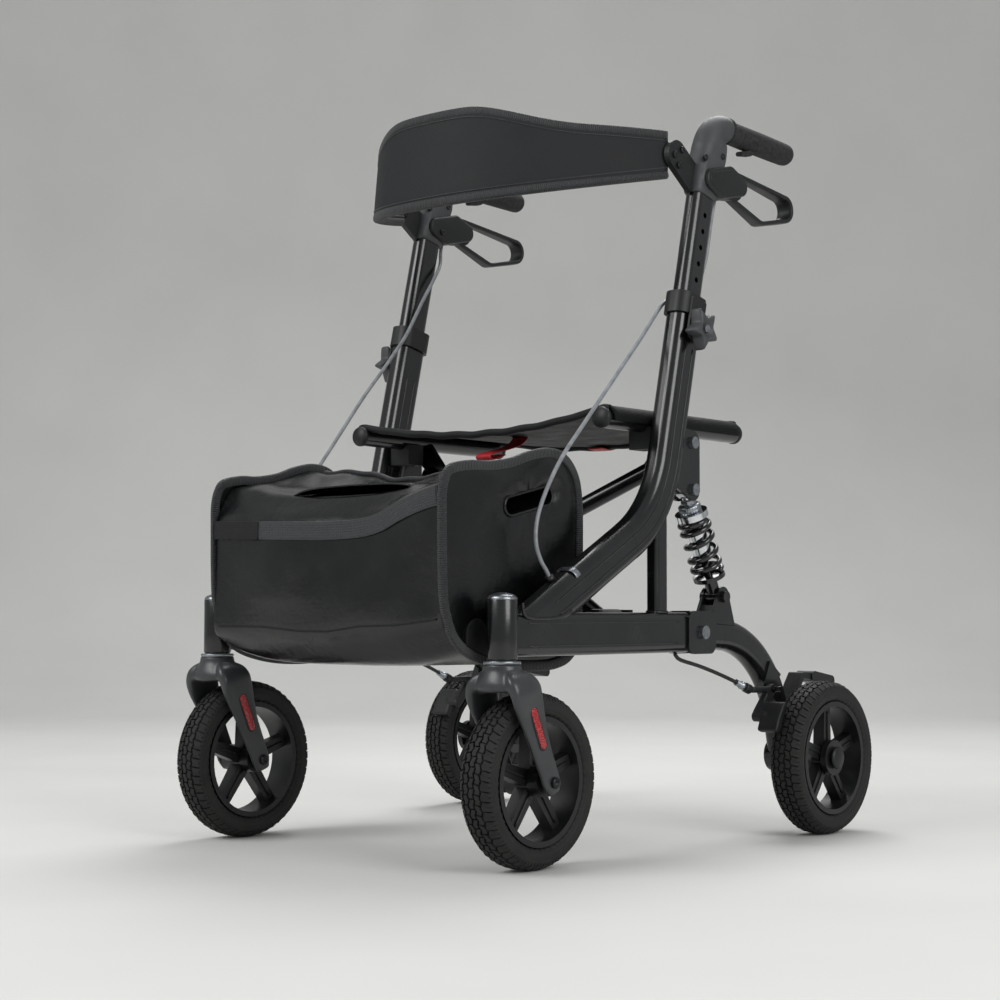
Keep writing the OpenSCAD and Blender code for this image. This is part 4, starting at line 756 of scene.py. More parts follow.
# %% Levers and knobs
STAR = [(0.01, 14.5), (5, 14.6), (9, 15.6), (10.5, 17.6), (12.5, 18.4), (19, 17.4), (21.5, 15.5),
        (22.5, 12), (22.5, 3), (21, 1), (19, 0.4), (0.01, 0.4)]
STAR_SHARE = [0, 0, 0, 0, 0.15, 0.9, 1, 1, 1, 1, 1, 0]
STAR_TURN = math.radians(9)
LOOP_STEPS = 120
LOOP = [(150, 849, 18), (213, 831, 21), (266, 837, 16)]
KNOB_AT = np.array([262, 36.3, 645])


def lobes(a):
    """Radius factor of the star knob at angle a: five rounded points, from 1.28 out to 0.66 between
    them."""
    return 1.28 - 0.62 * np.abs(np.sin(2.5 * (a - STAR_TURN))) ** 0.85


loop = wrapped(LOOP, LOOP_STEPS)
wide = 6 + 6 * np.clip((loop[:, 0] - 165) / 90, 0, 1)
section = rounded_box(1, 3.2, 4, 20)[None] * np.stack([wide, np.ones(LOOP_STEPS)], 1)[:, None]
strap = sweep(np.column_stack([np.full(LOOP_STEPS, SIDE_X), loop]), section, (1, 0, 0), True)
root = plate([(*LEVER_AT, 19), (*(LEVER_AT + (20, -3)), 14)], 233.2, 246.8, 2)
on_both("lever_loop", joined([strap, root]), nylon, "lever", "moulded_black", "brake_lever")
star = turned(STAR, KNOB_AT, (1, 0, 0), 100, (STAR_SHARE, lobes))
on_both("five_point_knob", star, handle_nylon, "knob", "moulded_black", "star_knob")
nut = turned([(0.01, 14), (5.5, 14), (5.5, 17.5), (5, 18.2), (0.01, 18.2)], KNOB_AT, (1, 0, 0), 6)
on_both("knob_nut", nut, zinc, "knob", "zinc_steel", smooth=False)
print("lever loop:", round(float(run_lengths(loop)[-1])), "mm round")

# %% [markdown]
# ## Backrest
# The backrest is a padded band between the handles. Seen from above it bows forward, and its lower edge
# bows a little further than its top edge. It is lower at the ends than in the middle. A row of rings along
# the band gives its section, and a ribbed binding with a line of stitches is sewn along both long edges.
# It is stiff foam without folds, so it is shaped by its formula.

# %% Backrest shape
BACK_END_X, BACK_END_Y, BACK_BOW, BACK_LEAN, BOW_POWER = 231.6, 15.3, 186.0, 14.0, 2.5
BACK_COLS, BACK_RING, BACK_HALF_THICK, TRIM_COLS = 121, 44, 4.6, 161
TOP_Z, TOP_CROWN, FALL_FROM, FALL_RUN = 897, 12, 0.22, 0.55
LOW_Z, LOW_DIP, LOW_LIFT, LIFT_POWER = 800, 16, 56, 2.4


def band_line(u):
    """Plan of the band: across by u, forward by bow (1 - |u|^2.5); also the level direction out of its
    front face."""
    line = np.stack([BACK_END_X * u, BACK_END_Y - BACK_BOW * (1 - np.abs(u) ** BOW_POWER)], -1)
    slope = np.sign(u) * BOW_POWER * BACK_BOW / BACK_END_X * np.abs(u) ** (BOW_POWER - 1)
    out = np.stack([slope, -np.ones_like(u)], -1)
    return line, out / np.linalg.norm(out, axis=-1, keepdims=True)


def band_heights(u):
    """Heights of the edges at u: the top falls by half a cosine wave and is level before and after it, the
    bottom dips with u squared and is lifted with |u|^2.4."""
    fall = np.clip((np.abs(u) - FALL_FROM) / FALL_RUN, 0, 1)
    return (TOP_Z + TOP_CROWN * (1 + np.cos(np.pi * fall)),
            LOW_Z - LOW_DIP * u**2 + LOW_LIFT * np.abs(u) ** LIFT_POWER)


def lean(u, z):
    """How far the band leans forward at height z: nothing at its top edge, most at its lower edge in the
    middle."""
    top, low = band_heights(u)
    return -BACK_LEAN * (1 - np.abs(u) ** BOW_POWER) * (top - z) / (top - low)


def backrest():
    """Rings round the band: a flat superellipse, a little thicker in the middle of its height."""
    u = np.sin(np.linspace(-np.pi / 2, np.pi / 2, BACK_COLS)) * 0.25 + np.linspace(-1, 1, BACK_COLS) * 0.75
    line, out = band_line(u)
    top, low = band_heights(u)
    a = np.linspace(0, 2 * np.pi, BACK_RING, endpoint=False)
    thick = BACK_HALF_THICK * signed_power(np.cos(a), 0.6)
    tall = signed_power(np.sin(a), 0.35)
    mid, half = (top + low) / 2, (top - low) / 2
    points = np.empty((BACK_COLS, BACK_RING, 3))
    points[..., :2] = line[:, None] + thick[None, :, None] * out[:, None]
    points[..., 2] = mid[:, None] + half[:, None] * tall[None]
    points[..., 1] += lean(u[:, None], points[..., 2])
    uv = np.stack(np.broadcast_arrays(run_lengths(line)[:, None], points[..., 2]), -1)
    return points.reshape(-1, 3), tube_faces(BACK_COLS, BACK_RING), uv.reshape(-1, 2)


top_middle, low_middle = band_heights(0.0)
print("backrest height in its middle:", round(float(top_middle - low_middle)), "mm")

# %% [markdown]
# The binding is a rounded tape carried along both long edges, and the stitches are thin threads beside it,
# on both faces.


# %% Backrest and its binding
def along_band(edge, inset, off, section):
    """A section carried along one long edge (0 top, 1 bottom), inset from it and off the middle of the
    band."""
    u = np.linspace(-1, 1, TRIM_COLS)
    line, out = band_line(u)
    height = band_heights(u)[edge] + (-inset, inset)[edge]
    line = line + off * out
    line[:, 1] += lean(u, height)
    return sweep(np.column_stack([line, height]), section, (0, 1, 0))


band = make("padded_backrest", backrest(), back_cloth, "left_post", "backrest_fabric", ("backrest_band",))
tape = rounded_box(5.0, 6.0, 3, 20)
trims = [make(f"backrest_{name}_binding", along_band(k, 3.8, 0, tape), binding, "left_post",
              "backrest_fabric") for k, name in enumerate(("top", "bottom"))]
stitches = joined([along_band(k, 11.5, off, ring(0.8, 8)) for k in (0, 1) for off in (4.4, -4.4)])
trims.append(make("backrest_stitches", stitches, binding, "left_post", "backrest_fabric"))
for piece in (band, *trims):
    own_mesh(piece)
print("backrest points:", len(band.data.vertices))

# %% [markdown]
# ## Seat sling
# The seat is one sheet of strong cloth with a sleeve round each rail. Its line goes round the rail and
# then hangs as a shallow parabola. It is stretched between the rails, so its line is known and a formula
# is enough. A red pull strap for folding lies along its middle: it comes up through a slit near the front
# and loops round the back edge.

# %% Seat sling
RAIL_X, SEAT_Z, SLING_R, SLING_SAG = 207.5, 528.0, 14.7, 19.5
SEAT_Y = (-80, 193)
SEAT_PULL, SEAT_STEPS = 7, 33


def sling_line():
    """Half of it: an arc round the rail from its outer side to the tangent, then z falls by sag (1 - (x /
    edge)^2); the other half is its mirror image."""
    slope = math.atan(2 * SLING_SAG / RAIL_X)
    a = np.linspace(math.radians(-15), np.pi / 2 + slope, 22)
    arc = np.stack([RAIL_X + SLING_R * np.cos(a), SEAT_Z + SLING_R * np.sin(a)], 1)
    x = np.linspace(1, 0, 26)[1:] * arc[-1, 0]
    hang = np.stack([x, arc[-1, 1] - SLING_SAG * (1 - (x / arc[-1, 0]) ** 2)], 1)
    half = np.vstack([arc, hang])
    return np.vstack([half, half[-2::-1] * (-1, 1)])


def seat_sheet():
    """The line carried from front to back, with a slight scallop where the free edges are pulled in
    between rails."""
    line = sling_line()
    run = run_lengths(line)
    v = np.linspace(-1, 1, SEAT_STEPS)
    pull = SEAT_PULL * (1 - np.minimum(np.abs(line[:, 0]) / RAIL_X, 1) ** 2)
    y = (SEAT_Y[0] + SEAT_Y[1]) / 2 + v[None] * ((SEAT_Y[1] - SEAT_Y[0]) / 2 - pull[:, None])
    ripple = 0.8 * np.sin(line[:, :1] / 9) * (pull[:, None] / SEAT_PULL) * v[None] ** 4
    points = np.stack([np.broadcast_to(line[:, :1], y.shape), y, line[:, 1:] + ripple], -1)
    uv = np.stack([np.broadcast_to(run[:, None], y.shape), y], -1)
    return points.reshape(-1, 3), grid_faces(len(line), SEAT_STEPS), uv.reshape(-1, 2), points, float(run[-1])


*sling_surface, sling_points, sling_run = seat_sheet()
sling = make("seat_sheet", sling_surface, seat_cloth, None, "seat_fabric", ("seat_sling",))
between_rails = slice(15, -15)
hem_lines = [sling_points[between_rails, k] - (0, 0, 2) for k in (0, -1)]
hem_tapes = [sweep(line, rounded_box(4.8, 5.2, 2.6, 16), (0, 0, 1)) for line in hem_lines]
hems = make("seat_hems", joined(hem_tapes), plain_webbing, None, "seat_fabric")
thick = sling.modifiers.new("cloth_thickness", "SOLIDIFY")
thick.thickness, thick.offset = 3 * MM, 0
STRAP_ROUTE = ((-40, 495), (-62, 488), (-70, 490.5), (-64, 495.5), (-36, 502), (-12, 509), (0, 516),
               (9, 524.5), (22, 526.6), (80, 526.4), (150, 526.6), (192, 528), (222, 536), (236, 534),
               (222, 527), (190, 516.6), (167, 518))
strap_path = smooth_path([(0, y, z) for y, z in STRAP_ROUTE], CURVE_STEPS)
strap_surface = sweep(strap_path, rounded_box(13, 1.1, 4, 16), (1, 0, 0))
strap = make("red_fold_strap", strap_surface, red_webbing, None, "reflector_red")
for piece in (sling, hems, strap):
    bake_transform(piece)
print("sling cut:", round(sling_run), "by", SEAT_Y[1] - SEAT_Y[0], "mm")

# %% [markdown]
# ## Bag
# The bag hangs between the front tubes. One strip of coated nylon makes its front, lid, back and bottom,
# and a stiff panel with a hand slot closes each end. The strip is a loft: its side profile is the same at
# every width, but the lid and the bottom sag between the panels, the front edge rises to one side, and
# soft folds are added as waves. The heights of its front edges are known at a few widths, so they are set
# directly. A slit in the lid is the way in.

# %% Bag strip shape
BAG_HALF, BAG_LOW, BOTTOM_Z, BAG_FRONT, BAG_SKEW = 200.0, 263.0, 226.0, -360, 8
BAG_COLS, FRONT_ROWS, BROW_ROWS, LID_ROWS = 97, 26, 10, 14
SLIT_ROW = FRONT_ROWS + BROW_ROWS
RIDGE_ROW = SLIT_ROW + 2 * LID_ROWS + 7
SLIT_X, SLIT_HALF, SLIT_OPEN = 15.0, 97.0, 11.0
FRONT_X = (-200, -100, 0, 60, 95, 126, 158, 200)
FRONT_Z = (404, 401, 398, 399, 404, 416, 425, 434)
SEAM_X = (-200, -110, -42, 10, 65, 126, 200)
SEAM_Z = (263, 264, 259, 259, 266, 267, 274)
LID_WAVES = ((2.6, 23, 31, 0), (2.0, 41, -17, 1), (1.2, 9, 13, 0))
FRONT_WAVES = ((3.5, 70, 60, 0), (1.8, 33, -45, 2))


def waves(terms, u, v):
    """A sum of sine waves over u and v; each term is its height, its two lengths over 2 pi, and where it
    starts."""
    return sum(height * np.sin(u / along + v / across + start) for height, along, across, start in terms)


def bag_strip():
    """Rows go round the bag: front up, lid back, back panel down, bottom forward. Corners are rounded by
    averaging each point with its neighbours, and the two rows of the slit part in the middle by a half
    ellipse."""
    x = (BAG_HALF * np.sin(np.linspace(-np.pi / 2, np.pi / 2, BAG_COLS)) * 0.3
         + BAG_HALF * np.linspace(-1, 1, BAG_COLS) * 0.7)
    u = x / BAG_HALF
    sag = 1 - u**2
    edge = 1 - np.abs(u) ** 8
    front_z = np.interp(x, FRONT_X, FRONT_Z)
    seam_z = np.interp(x, SEAM_X, SEAM_Z)
    low_back, low_front = BOTTOM_Z + 4 * u**4, BOTTOM_Z + 22 * u**4
    front_y = BAG_FRONT - BAG_SKEW * u
    corners = [(front_y, seam_z, FRONT_ROWS), (front_y, front_z, BROW_ROWS), (-326, 446 - 14 * sag, LID_ROWS),
               (-262, 456 - 18 * sag, LID_ROWS), (-190, 476 - 20 * sag, 12), (-150, 471 - 12 * sag, 6),
               (-126, 446 - 4 * sag, 24), (-124, BAG_LOW, 8), (-165, low_back, 22), (-330, low_front, 8)]
    corners = [(np.stack([y + 0 * x, z + 0 * x], 1), count) for y, z, count in corners]
    rows = []
    for (start, count), (stop, _) in zip(corners, corners[1:] + corners[:1]):
        t = np.linspace(0, 1, count, endpoint=False)[:, None, None]
        rows.append(start[None] + (stop - start)[None] * t)
    loop = np.concatenate(rows)
    for _ in range(5):
        loop = 0.5 * loop + 0.25 * (np.roll(loop, 1, 0) + np.roll(loop, -1, 0))
    y, z = loop[..., 0], loop[..., 1]
    on_lid = np.clip((z - 430) / 20, 0, 1) * edge
    on_front = np.clip((-335 - y) / 15, 0, 1) * np.clip((z - 266) / 40, 0, 1) * edge
    z = z + on_lid * waves(LID_WAVES, x, y)
    y = y + on_front * (waves(FRONT_WAVES, x, z) - 1)
    k = SLIT_ROW
    part = SLIT_OPEN * np.sqrt(np.clip(1 - ((x - SLIT_X) / SLIT_HALF) ** 2, 0, 1))
    y = np.insert(y, k, y[k], 0)
    z = np.insert(z, k, z[k], 0)
    y[k] -= 0.4 * part
    z[k] -= 0.3 * part
    z[k + 1:k + 6] += np.array([1.0, 0.9, 0.62, 0.3, 0.1])[:, None] * part
    points = np.stack([np.broadcast_to(x, y.shape), y, z], -1)
    faces = np.array(grid_faces(len(points), len(x), True, False)).reshape(len(points), len(x) - 1, 4)
    keep = np.ones(faces.shape[:2], bool)
    keep[k] = (part[:-1] + part[1:]) == 0
    along = run_lengths(points[:, BAG_COLS // 2])
    uv = np.stack(np.broadcast_arrays(x[None], along[:, None]), -1)
    return points, faces[keep].tolist(), uv


strip_points, strip_faces, strip_uv = bag_strip()
print("bag strip grid:", *strip_points.shape[:2])

# %% [markdown]
# Every piece of the bag rides on the left side frame and folds with the others, so one helper makes them
# all and keeps them in a list.

# %% Bag strip
bag_pieces = []


def bag_piece(name, surface, material, **more):
    """A piece of the bag: it rides on the left side frame and joins the list of what folds together."""
    bag_pieces.append(make(name, surface, material, "left_frame", "bag_fabric", **more))
    return bag_pieces[-1]


strip = bag_piece("bag_strip", (strip_points, strip_faces, strip_uv), bag_cloth, replaces=("bag",), weld=0.05)

# %% [markdown]
# Each end panel is a ring of cloth between the hand slot and the outline, drawn as rays from the slot, so
# that the hole needs no cutting. Its outline is a closed smooth curve through a few points, and the two
# panels lean a little differently at the front.

# %% Bag panel outline
OUTLINE = np.array([(-346, 450), (-316, 456), (-286, 457), (-249, 463), (-217, 473), (-182, 479), (-152, 473),
                    (-132, 452), (-125, 421), (-124, 374), (-125, 320), (-128, 270), (-140, 241), (-170, 229),
                    (-215, 227), (-260, 230), (-300, 238), (-326, 249), (-345, 268), (-356, 300), (-359, 340),
                    (-360, 390), (-360, 420), (-356, 438)], float)
FRONT_LEAN = 9.0
SLOT_AT, SLOT_TILT, SLOT_STEPS = np.array([-218.0, 420.0]), math.radians(13), 120
PANEL_RAYS, PANEL_RINGS = 160, 26


def closed_curve(points, steps):
    """A closed Catmull-Rom curve: the first points are repeated at the end, and the joint is cut out of
    the middle."""
    wide = np.vstack([points[-2:], points, points[:3]])
    return smooth_path(wide, steps)[2 * steps:-2 * steps - 1]


def by_angle(curve, centre, angles):
    """Where rays from a centre meet a closed curve: its sides are filled with points and the radius read
    by angle."""
    fill = np.linspace(0, 1, 12, endpoint=False)[:, None]
    d = (curve[:, None] + (np.roll(curve, -1, 0) - curve)[:, None] * fill).reshape(-1, 2) - centre
    a = np.unwrap(np.arctan2(d[:, 1], d[:, 0]))
    r = np.linalg.norm(d, axis=1)
    order = np.argsort(a)
    radius = np.interp(angles, a[order], r[order], period=2 * np.pi)
    return centre + radius[:, None] * np.stack([np.cos(angles), np.sin(angles)], 1)


def slot_curve(grow):
    """The slot's outline: a stadium 86 by 20, grown all round by grow and turned by its tilt."""
    stadium = wrapped([(-33, 0, 10 + grow), (33, 0, 10 + grow)], SLOT_STEPS)
    c, s = math.cos(SLOT_TILT), math.sin(SLOT_TILT)
    return SLOT_AT + stadium @ np.array([[c, s], [-s, c]])


print("hand slot box:", np.ptp(slot_curve(0), axis=0).round(), "mm")

# %% [markdown]
# The cloth puckers in waves round the slot and bellies out a little. A ribbed binding covers the outline,
# where panel and strip meet, and a thin lip runs round the slot.


# %% Bag panels and trim
def end_panel(outline):
    """Rays from the slot to the outline; the panel bellies by 1 - (2t - 1)^2 and puckers by a wave of the
    angle."""
    angles = np.linspace(-np.pi, np.pi, PANEL_RAYS, endpoint=False)
    inner, outer = by_angle(slot_curve(0), SLOT_AT, angles), by_angle(outline, SLOT_AT, angles)
    t = np.linspace(0, 1, PANEL_RINGS) ** 1.4
    flat = inner[None] + (outer - inner)[None] * t[:, None, None]
    belly = 5 * (1 - (2 * t - 1) ** 2)[:, None]
    pucker = 2.2 * (np.exp(-t * 7) * t * 8)[:, None] * np.cos(6 * angles + 0.6)
    ripple = 1.5 * (np.sin(flat[..., 0] / 22 + flat[..., 1] / 30) * (t * (1 - t) * 4)[:, None])
    points = np.concatenate([BAG_HALF + (belly + pucker + ripple)[..., None], flat], -1)
    return points.reshape(-1, 3), grid_faces(PANEL_RINGS, PANEL_RAYS, False, True), flat.reshape(-1, 2)


for side, sign in SIDES:
    forward = sign * FRONT_LEAN * np.clip((-200 - OUTLINE[:, 0]) / 150, 0, 1)
    outline = closed_curve(OUTLINE - np.column_stack([forward, 0 * forward]), 8)
    bag_piece(f"{side}_bag_panel", on_side(end_panel(outline), sign), bag_cloth)
    rim_path = np.column_stack([np.full(len(outline), BAG_HALF + 1), outline])
    outward = np.column_stack([np.zeros(len(outline)), outline - outline.mean(0)])
    edging = sweep(rim_path, rounded_box(6.0, 3.4, 3, 20), outward, True)
    bag_piece(f"{side}_bag_binding", on_side(edging, sign), binding)
    lip_path = np.column_stack([np.full(SLOT_STEPS, BAG_HALF + 0.6), slot_curve(1.2)])
    lip = sweep(lip_path, rounded_box(2.0, 2.0, 2, 12), (1, 0, 0), True)
    bag_piece(f"{side}_bag_slot_lip", on_side(lip, sign), bag_cloth)
print("panel outline:", len(outline), "points")

# %% [markdown]
# A band of loop webbing finishes the front edge, and a seam line marks where the front meets the bottom.
# Four tabs tie the bag to the main tubes, and an arched webbing plate lies on each lower front corner. The
# long tapes are carried along rows of the strip, so they lie on it wherever it sags.

# %% Bag webbing
x = np.linspace(-196, 196, 99)
edge_z = np.interp(x, FRONT_X, FRONT_Z)
edge_z = np.convolve(np.pad(edge_z, 4, mode="edge"), np.ones(9) / 9, mode="valid")
front_row = strip_points[FRONT_ROWS - 3]
webbing_y = np.interp(x, front_row[:, 0], front_row[:, 1]) - 1.6
band_path = np.column_stack([x, webbing_y, edge_z - 13])
bag_piece("bag_front_webbing", sweep(band_path, rounded_box(11.0, 1.3, 5, 20), (0, 0, 1)), webbing)
patch_path = band_path[x < -105] - (0, 1.6, 0)
bag_piece("bag_webbing_patch", sweep(patch_path, rounded_box(11.4, 0.9, 5, 20), (0, 0, 1)), plain_webbing)
seam = sweep(strip_points[1, 3:-3] + (0, -0.6, 2), ring(1.2, 8), (0, 0, 1))
bag_piece("bag_front_seam", seam, plain_webbing)
straps = [sweep([(sign * v, y, z) for v in (198, 206, 215, 224)], rounded_box(11.5, 1.4, 4, 16), (0, 1, 0))
          for _, sign in SIDES for y, z in ((-182, 321), (-274, 272))]
tabs = bag_piece("bag_frame_tabs", joined(straps), plain_webbing)
# A dark arched plate of plain webbing on the lower front corner of each end panel.
arch = plate([(-313, 265, 18), (-328, 254, 3), (-296, 243, 3)], BAG_HALF, BAG_HALF + 5, 1)
bag_piece("bag_corner_arches", joined([on_side(arch, sign) for _, sign in SIDES]), plain_webbing)
ridge = strip_points[RIDGE_ROW, 4:-4] + (0, 0, 2.4)
bag_piece("bag_back_binding", sweep(ridge, rounded_box(3.2, 5.0, 3, 16), (0, 0, 1)), binding)
print("bag pieces:", len(bag_pieces))

# %% [markdown]
# The strip and the panels get the thickness of the cloth.

# %% Bag cloth
for piece in bag_pieces:
    if piece.name.endswith(("strip", "panel")):
        wall = piece.modifiers.new("cloth_thickness", "SOLIDIFY")
        wall.thickness, wall.offset = 2.2 * MM, -1
    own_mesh(piece)

# %% [markdown]
# ## Small parts
# Last come the parts that make the object look built: reflector lenses in dark frames, silver washers,
# weld beads, the raised lines of the drawn tubes, cable clips, hub caps and rail caps. Each is small, but
# together they show the object's scale.


# %% Small part tools
def bead(loop, radius, closed=True):
    """A weld: a round section along a line, whose radius swells and shrinks every 3.4 mm like laid
    ripples."""
    loop = np.asarray(loop, float)
    swell = 1 + 0.16 * np.cos(2 * np.pi * run_lengths(loop) / 3.4)
    side = (0, 0, 1) if closed else (1, 0, 0)
    return sweep(loop, ring(radius, 10)[None] * swell[:, None, None], side, closed)


def disc(at, way, radius, height, edge):
    """A round plate with a rounded rim, standing on a point."""
    profile = [(0.01, -0.3), (radius, -0.3), (radius, height - edge),
               (radius - 0.3 * edge, height - 0.3 * edge), (radius - edge, height), (0.01, height)]
    return turned(profile, at, way, 36)


def level_loop(centre, half_u, half_v, power):
    """A level rounded rectangle, for welds round a tube's foot."""
    flat = rounded_box(half_u, half_v, power, 160)
    return np.column_stack([centre[0] + flat[:, 0], centre[1] + flat[:, 1], np.full(160, centre[2])])


print("small part tools ready")

# %% [markdown]
# The main tube's middle line is a straight foot, an arc and the straight post. Raised lines follow it on
# both faces, and rippled welds close its joints. Both are thin sections carried along a line, which keeps
# to the bend exactly.

# %% Tube lines and welds
FOOT, SLOPE, POST_LINE = np.array([-285.0, 265.0]), math.radians(28.5), math.radians(77)
BEND_AT, BEND_R = np.array([-153.3, 512.9]), 155.0


def tube_line(offset):
    """The main tube's middle line moved sideways by offset, from above its foot to below its collar."""
    slope_way, post_way = (np.array([math.cos(a), math.sin(a)]) for a in (SLOPE, POST_LINE))
    slope_side, post_side = (np.array([-w[1], w[0]]) for w in (slope_way, post_way))
    foot = FOOT + np.linspace(62, 230, 30)[:, None] * slope_way + offset * slope_side
    a = np.linspace(SLOPE - np.pi / 2, POST_LINE - np.pi / 2, 50)[1:]
    arc = BEND_AT + (BEND_R - offset) * np.stack([np.cos(a), np.sin(a)], 1)
    start = BEND_AT + BEND_R * np.array([math.cos(a[-1]), math.sin(a[-1])])
    post = start + np.linspace(4, 148, 24)[:, None] * post_way + offset * post_side
    return np.vstack([foot, arc, post])


JOINT_POINTS = ((-294, 300), (-291, 289), (-283, 284), (-262, 282.5), (-240, 283), (-222, 286), (-206, 291.5))
JOINT = smooth_path(JOINT_POINTS, 12)
TUBE_FACES, LOWER_Z = (255, 225), 265
along = np.linspace(-283, 4, 60)
tube_lines = [tube_line(7.5), tube_line(-7.5)]
tube_lines += [np.column_stack([along, np.full(60, LOWER_Z + up)]) for up in (13, -13)]
lines = [sweep(np.column_stack([np.full(len(line), x), line]), ring(0.9, 8), (1, 0, 0))
         for x in TUBE_FACES for line in tube_lines]
on_both("tube_lines", joined(lines), powder_coat, "frame", "frame_black")
welds = [bead(level_loop((SIDE_X, -18, 290.4), 9.3, 12.8, 3), 1.9)]
welds += [bead(np.column_stack([np.full(len(JOINT), x), JOINT]), 2.1, False) for x in (254.8, 225.2)]
on_both("weld_beads", joined(welds), powder_coat, "frame", "frame_black")
print("raised lines and welds on both sides")

# %% [markdown]
# Each fork leg carries a red lens in a dark frame. A pin runs through the wheel with a socket screw at
# both ends. The stem turns in a black sleeve with a domed zinc cap on top and a zinc washer below.

# %% Caster details
LENS = [(-301, 180, 4.8), (-284.5, 143, 4.8)]
LENS_FRAME = [(-301, 180, 6.6), (-284.5, 143, 6.6)]
LEG_FACES = ((277.6, 1), (202.4, -1))
HEAD, UP = (*STEM, 0), (0, 0, 1)
AXLE = AXLES["front"][1:]
frames = [plate(LENS_FRAME, *sorted((x - way * 3, x + way * 0.5)), 0.6) for x, way in LEG_FACES]
on_both("reflector_frames", joined(frames), nylon, "caster", "moulded_black")
for (x, way), name, node in zip(LEG_FACES, ("outer", "inner"), ("reflectors", None)):
    lens = plate(LENS, *sorted((x - way * 2.4, x + way * 1.3)), 0.8)
    on_both(f"{name}_reflector_lens", lens, red_lens, "caster", "reflector_red", node)
pin = turned([(0.01, 0), (3.9, 0), (3.9, 74), (0.01, 74)], (203, *AXLE), (1, 0, 0), 24)
heads = [cap_screw((x - way * 0.5, *AXLE), (way, 0, 0), 13) for x, way in LEG_FACES]
on_both("axle_screws", joined([pin, *heads]), black_screw, "caster", "zinc_steel", "front_axle")
SLEEVE = [(15.5, 236.8), (17, 237.2), (17.3, 238.2), (17.3, 304), (16.8, 305), (15.5, 305)]
on_both("head_sleeve", turned(SLEEVE, HEAD, UP, 48), powder_coat, "frame", "frame_black")
dome = turned([(0.01, 303), (16.6, 303), (17.2, 304.6), (16.8, 306.6), (14.5, 309), (9.5, 311), (4, 312),
               (0.01, 312.2)], HEAD, UP, 48)
on_both("head_cap", dome, zinc, "frame", "zinc_steel")
on_both("stem_washer", disc((*STEM, 232.4), UP, 21, 3.2, 0.6), zinc, "caster", "zinc_steel")
print("caster details on both sides")

# %% [markdown]
# Above each spring sit a knurled adjuster ring and a hexagonal lock nut. Each wheel has five spokes with a
# rib on both faces, and each rear axle ends in a cap.


# %% Shock and wheel details
def knurl(a):
    """Radius factor of a knurled rim at angle a: 28 small waves, three percent deep."""
    return 1 + 0.03 * np.cos(28 * a)


SPOKES, RIB_OFF, NUT_SHARE = 5, 8.6, [0, 1, 1, 1, 1, 0]
RING_NUT = [(6, 20), (13, 20), (14, 21), (14, 29), (13, 30), (6, 30)]
LOCK_NUT = [(6, 12), (9.5, 12), (10, 12.6), (10, 18.6), (9.5, 19.4), (6, 19.4)]
nuts = [turned(RING_NUT, EYE_TOP, SHOCK_WAY, 84, (NUT_SHARE, knurl)),
        turned(LOCK_NUT, EYE_TOP, SHOCK_WAY, 72, (NUT_SHARE, hexagon))]
on_both("shock_adjuster", joined(nuts), zinc, "damper", "zinc_steel")
hub_cap = turned([(0.01, -0.2), (14.5, -0.2), (14.5, 1.6), (13.6, 3), (10, 4.6), (5, 5.6), (0.01, 6)],
                 (325.2, *AXLES["rear"][1:]), (1, 0, 0), 40)
on_both("hub_cap", hub_cap, nylon, "arm", "moulded_black")
reach = np.linspace(18, 60, 8)[:, None]
for end, (x, y, z) in AXLES.items():
    ribs = []
    for a in np.radians(360 / SPOKES * np.arange(SPOKES) + 90):
        spoke = np.array([y, z]) + reach * np.array([math.cos(a), math.sin(a)])
        rib_lines = [np.column_stack([np.full(8, x + off), spoke]) for off in (RIB_OFF, -RIB_OFF)]
        ribs += [sweep(line, rounded_box(1.6, 1.4, 2.4, 10), (1, 0, 0)) for line in rib_lines]
    on_both(f"{end}_spoke_ribs", joined(ribs), rim_nylon, f"{end}_wheel", "rim_black")
print("spoke ribs on each wheel:", len(ribs))

# %% [markdown]
# The lower cable ends in a zinc adjuster and a folded rubber boot. The upper one passes under a zinc clip
# on the main tube and goes in through a rubber grommet. Moulded caps close the seat rails.

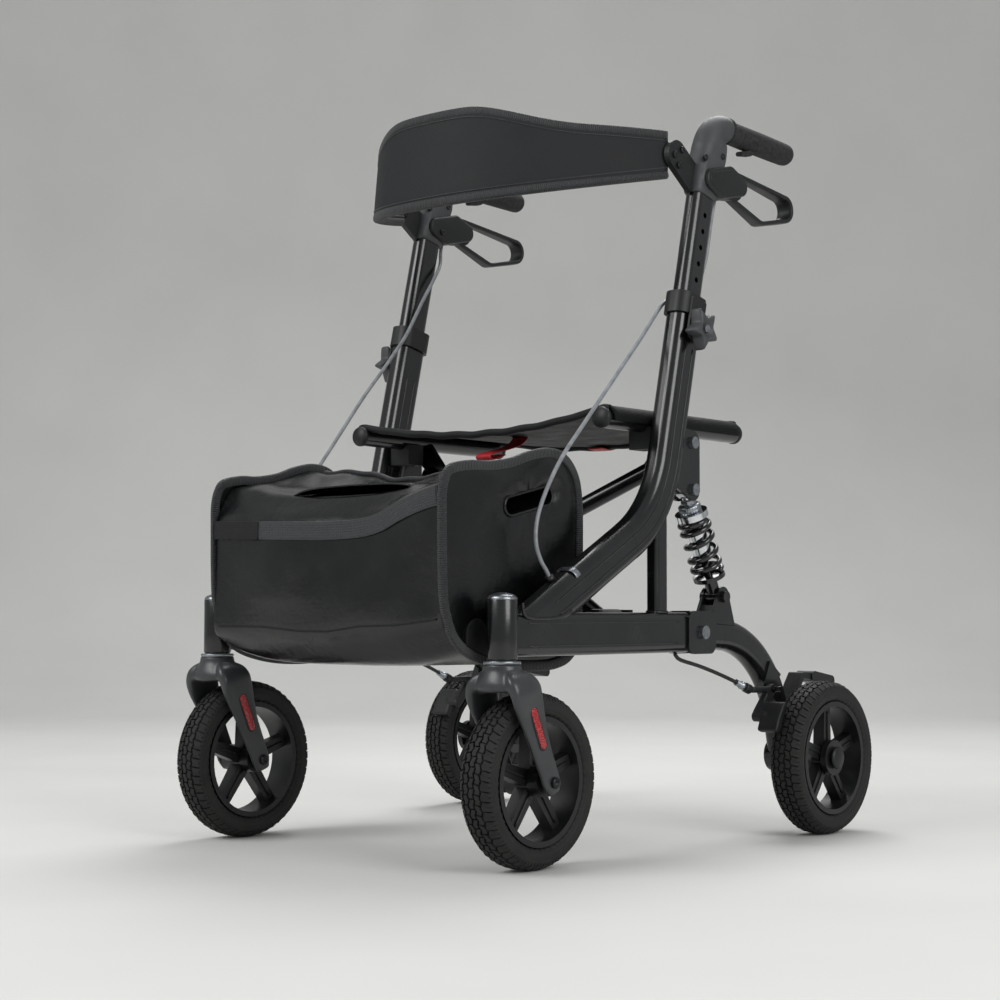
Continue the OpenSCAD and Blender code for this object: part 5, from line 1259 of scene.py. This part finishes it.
# %% Cable ends and rail caps
path = smooth_path(np.array(LOWER_ROUTE, float), CURVE_STEPS)
end_way = path[-1] - path[-1 - CURVE_STEPS]
end_way /= np.linalg.norm(end_way)
BARREL = [(2.7, -30), (4.2, -30), (4.2, -20), (5.4, -19.6), (5.4, -15), (4, -14.6), (4, -12), (2.7, -12)]
on_both("cable_adjuster", turned(BARREL, path[-1], end_way, 24), zinc, "arm", "zinc_steel")
folds = [(2.7, -12)] + [(5.2 + 1.2 * (k % 2), -11.5 + 1.3 * k) for k in range(8)] + [(2.7, -1.5)]
on_both("cable_boot", turned(folds, path[-1], end_way, 24), black_sheath, "arm", "cable_black")
CLIP_RUN, CLIP_SQUEEZE = 112, (15.8 / 16, 1)
slope_way = np.array([0, math.cos(SLOPE), math.sin(SLOPE)])
slope_up = np.array([0, -math.sin(SLOPE), math.cos(SLOPE)])
clip_at = np.array([SIDE_X, *(FOOT + CLIP_RUN * slope_way[1:])])
over = wrapped([(-6, 15, 10), (6, 15, 10), (-6, 0, 10), (6, 0, 10)], 60)
over = over[over[:, 1] > 8] * CLIP_SQUEEZE
over = over[np.argsort(over[:, 0])]
clip_path = clip_at + over[:, :1] * np.array([1, 0, 0]) + over[:, 1:] * slope_up
on_both("cable_clip", sweep(clip_path, rounded_box(4.5, 0.8, 4, 12), slope_way), zinc, "frame", "zinc_steel")
grommet = turned([(2.6, -2), (5.4, -2), (5.8, 0), (5, 3.5), (2.6, 4)], (236, -222, 329), (0, -0.55, 0.84), 24)
on_both("cable_grommet", grommet, black_sheath, "frame", "cable_black")
CAP = [(0.01, -2), (13.1, -2), (13.3, -1), (13.3, 2), (12.2, 4), (0.01, 4.6)]
caps = joined([turned(CAP, (RAIL_X, y, SEAT_Z), (0, way, 0), 36) for y, way in ((200, 1), (-87, -1))])
for (side, sign), body in zip(SIDES, ("cross_b", "cross_a")):
    make(f"{side}_rail_caps", on_side(caps, sign), nylon, body, "moulded_black")
print("cable ends and rail caps on both sides")

# %% [markdown]
# ## End

# %% End
print("all pieces made")
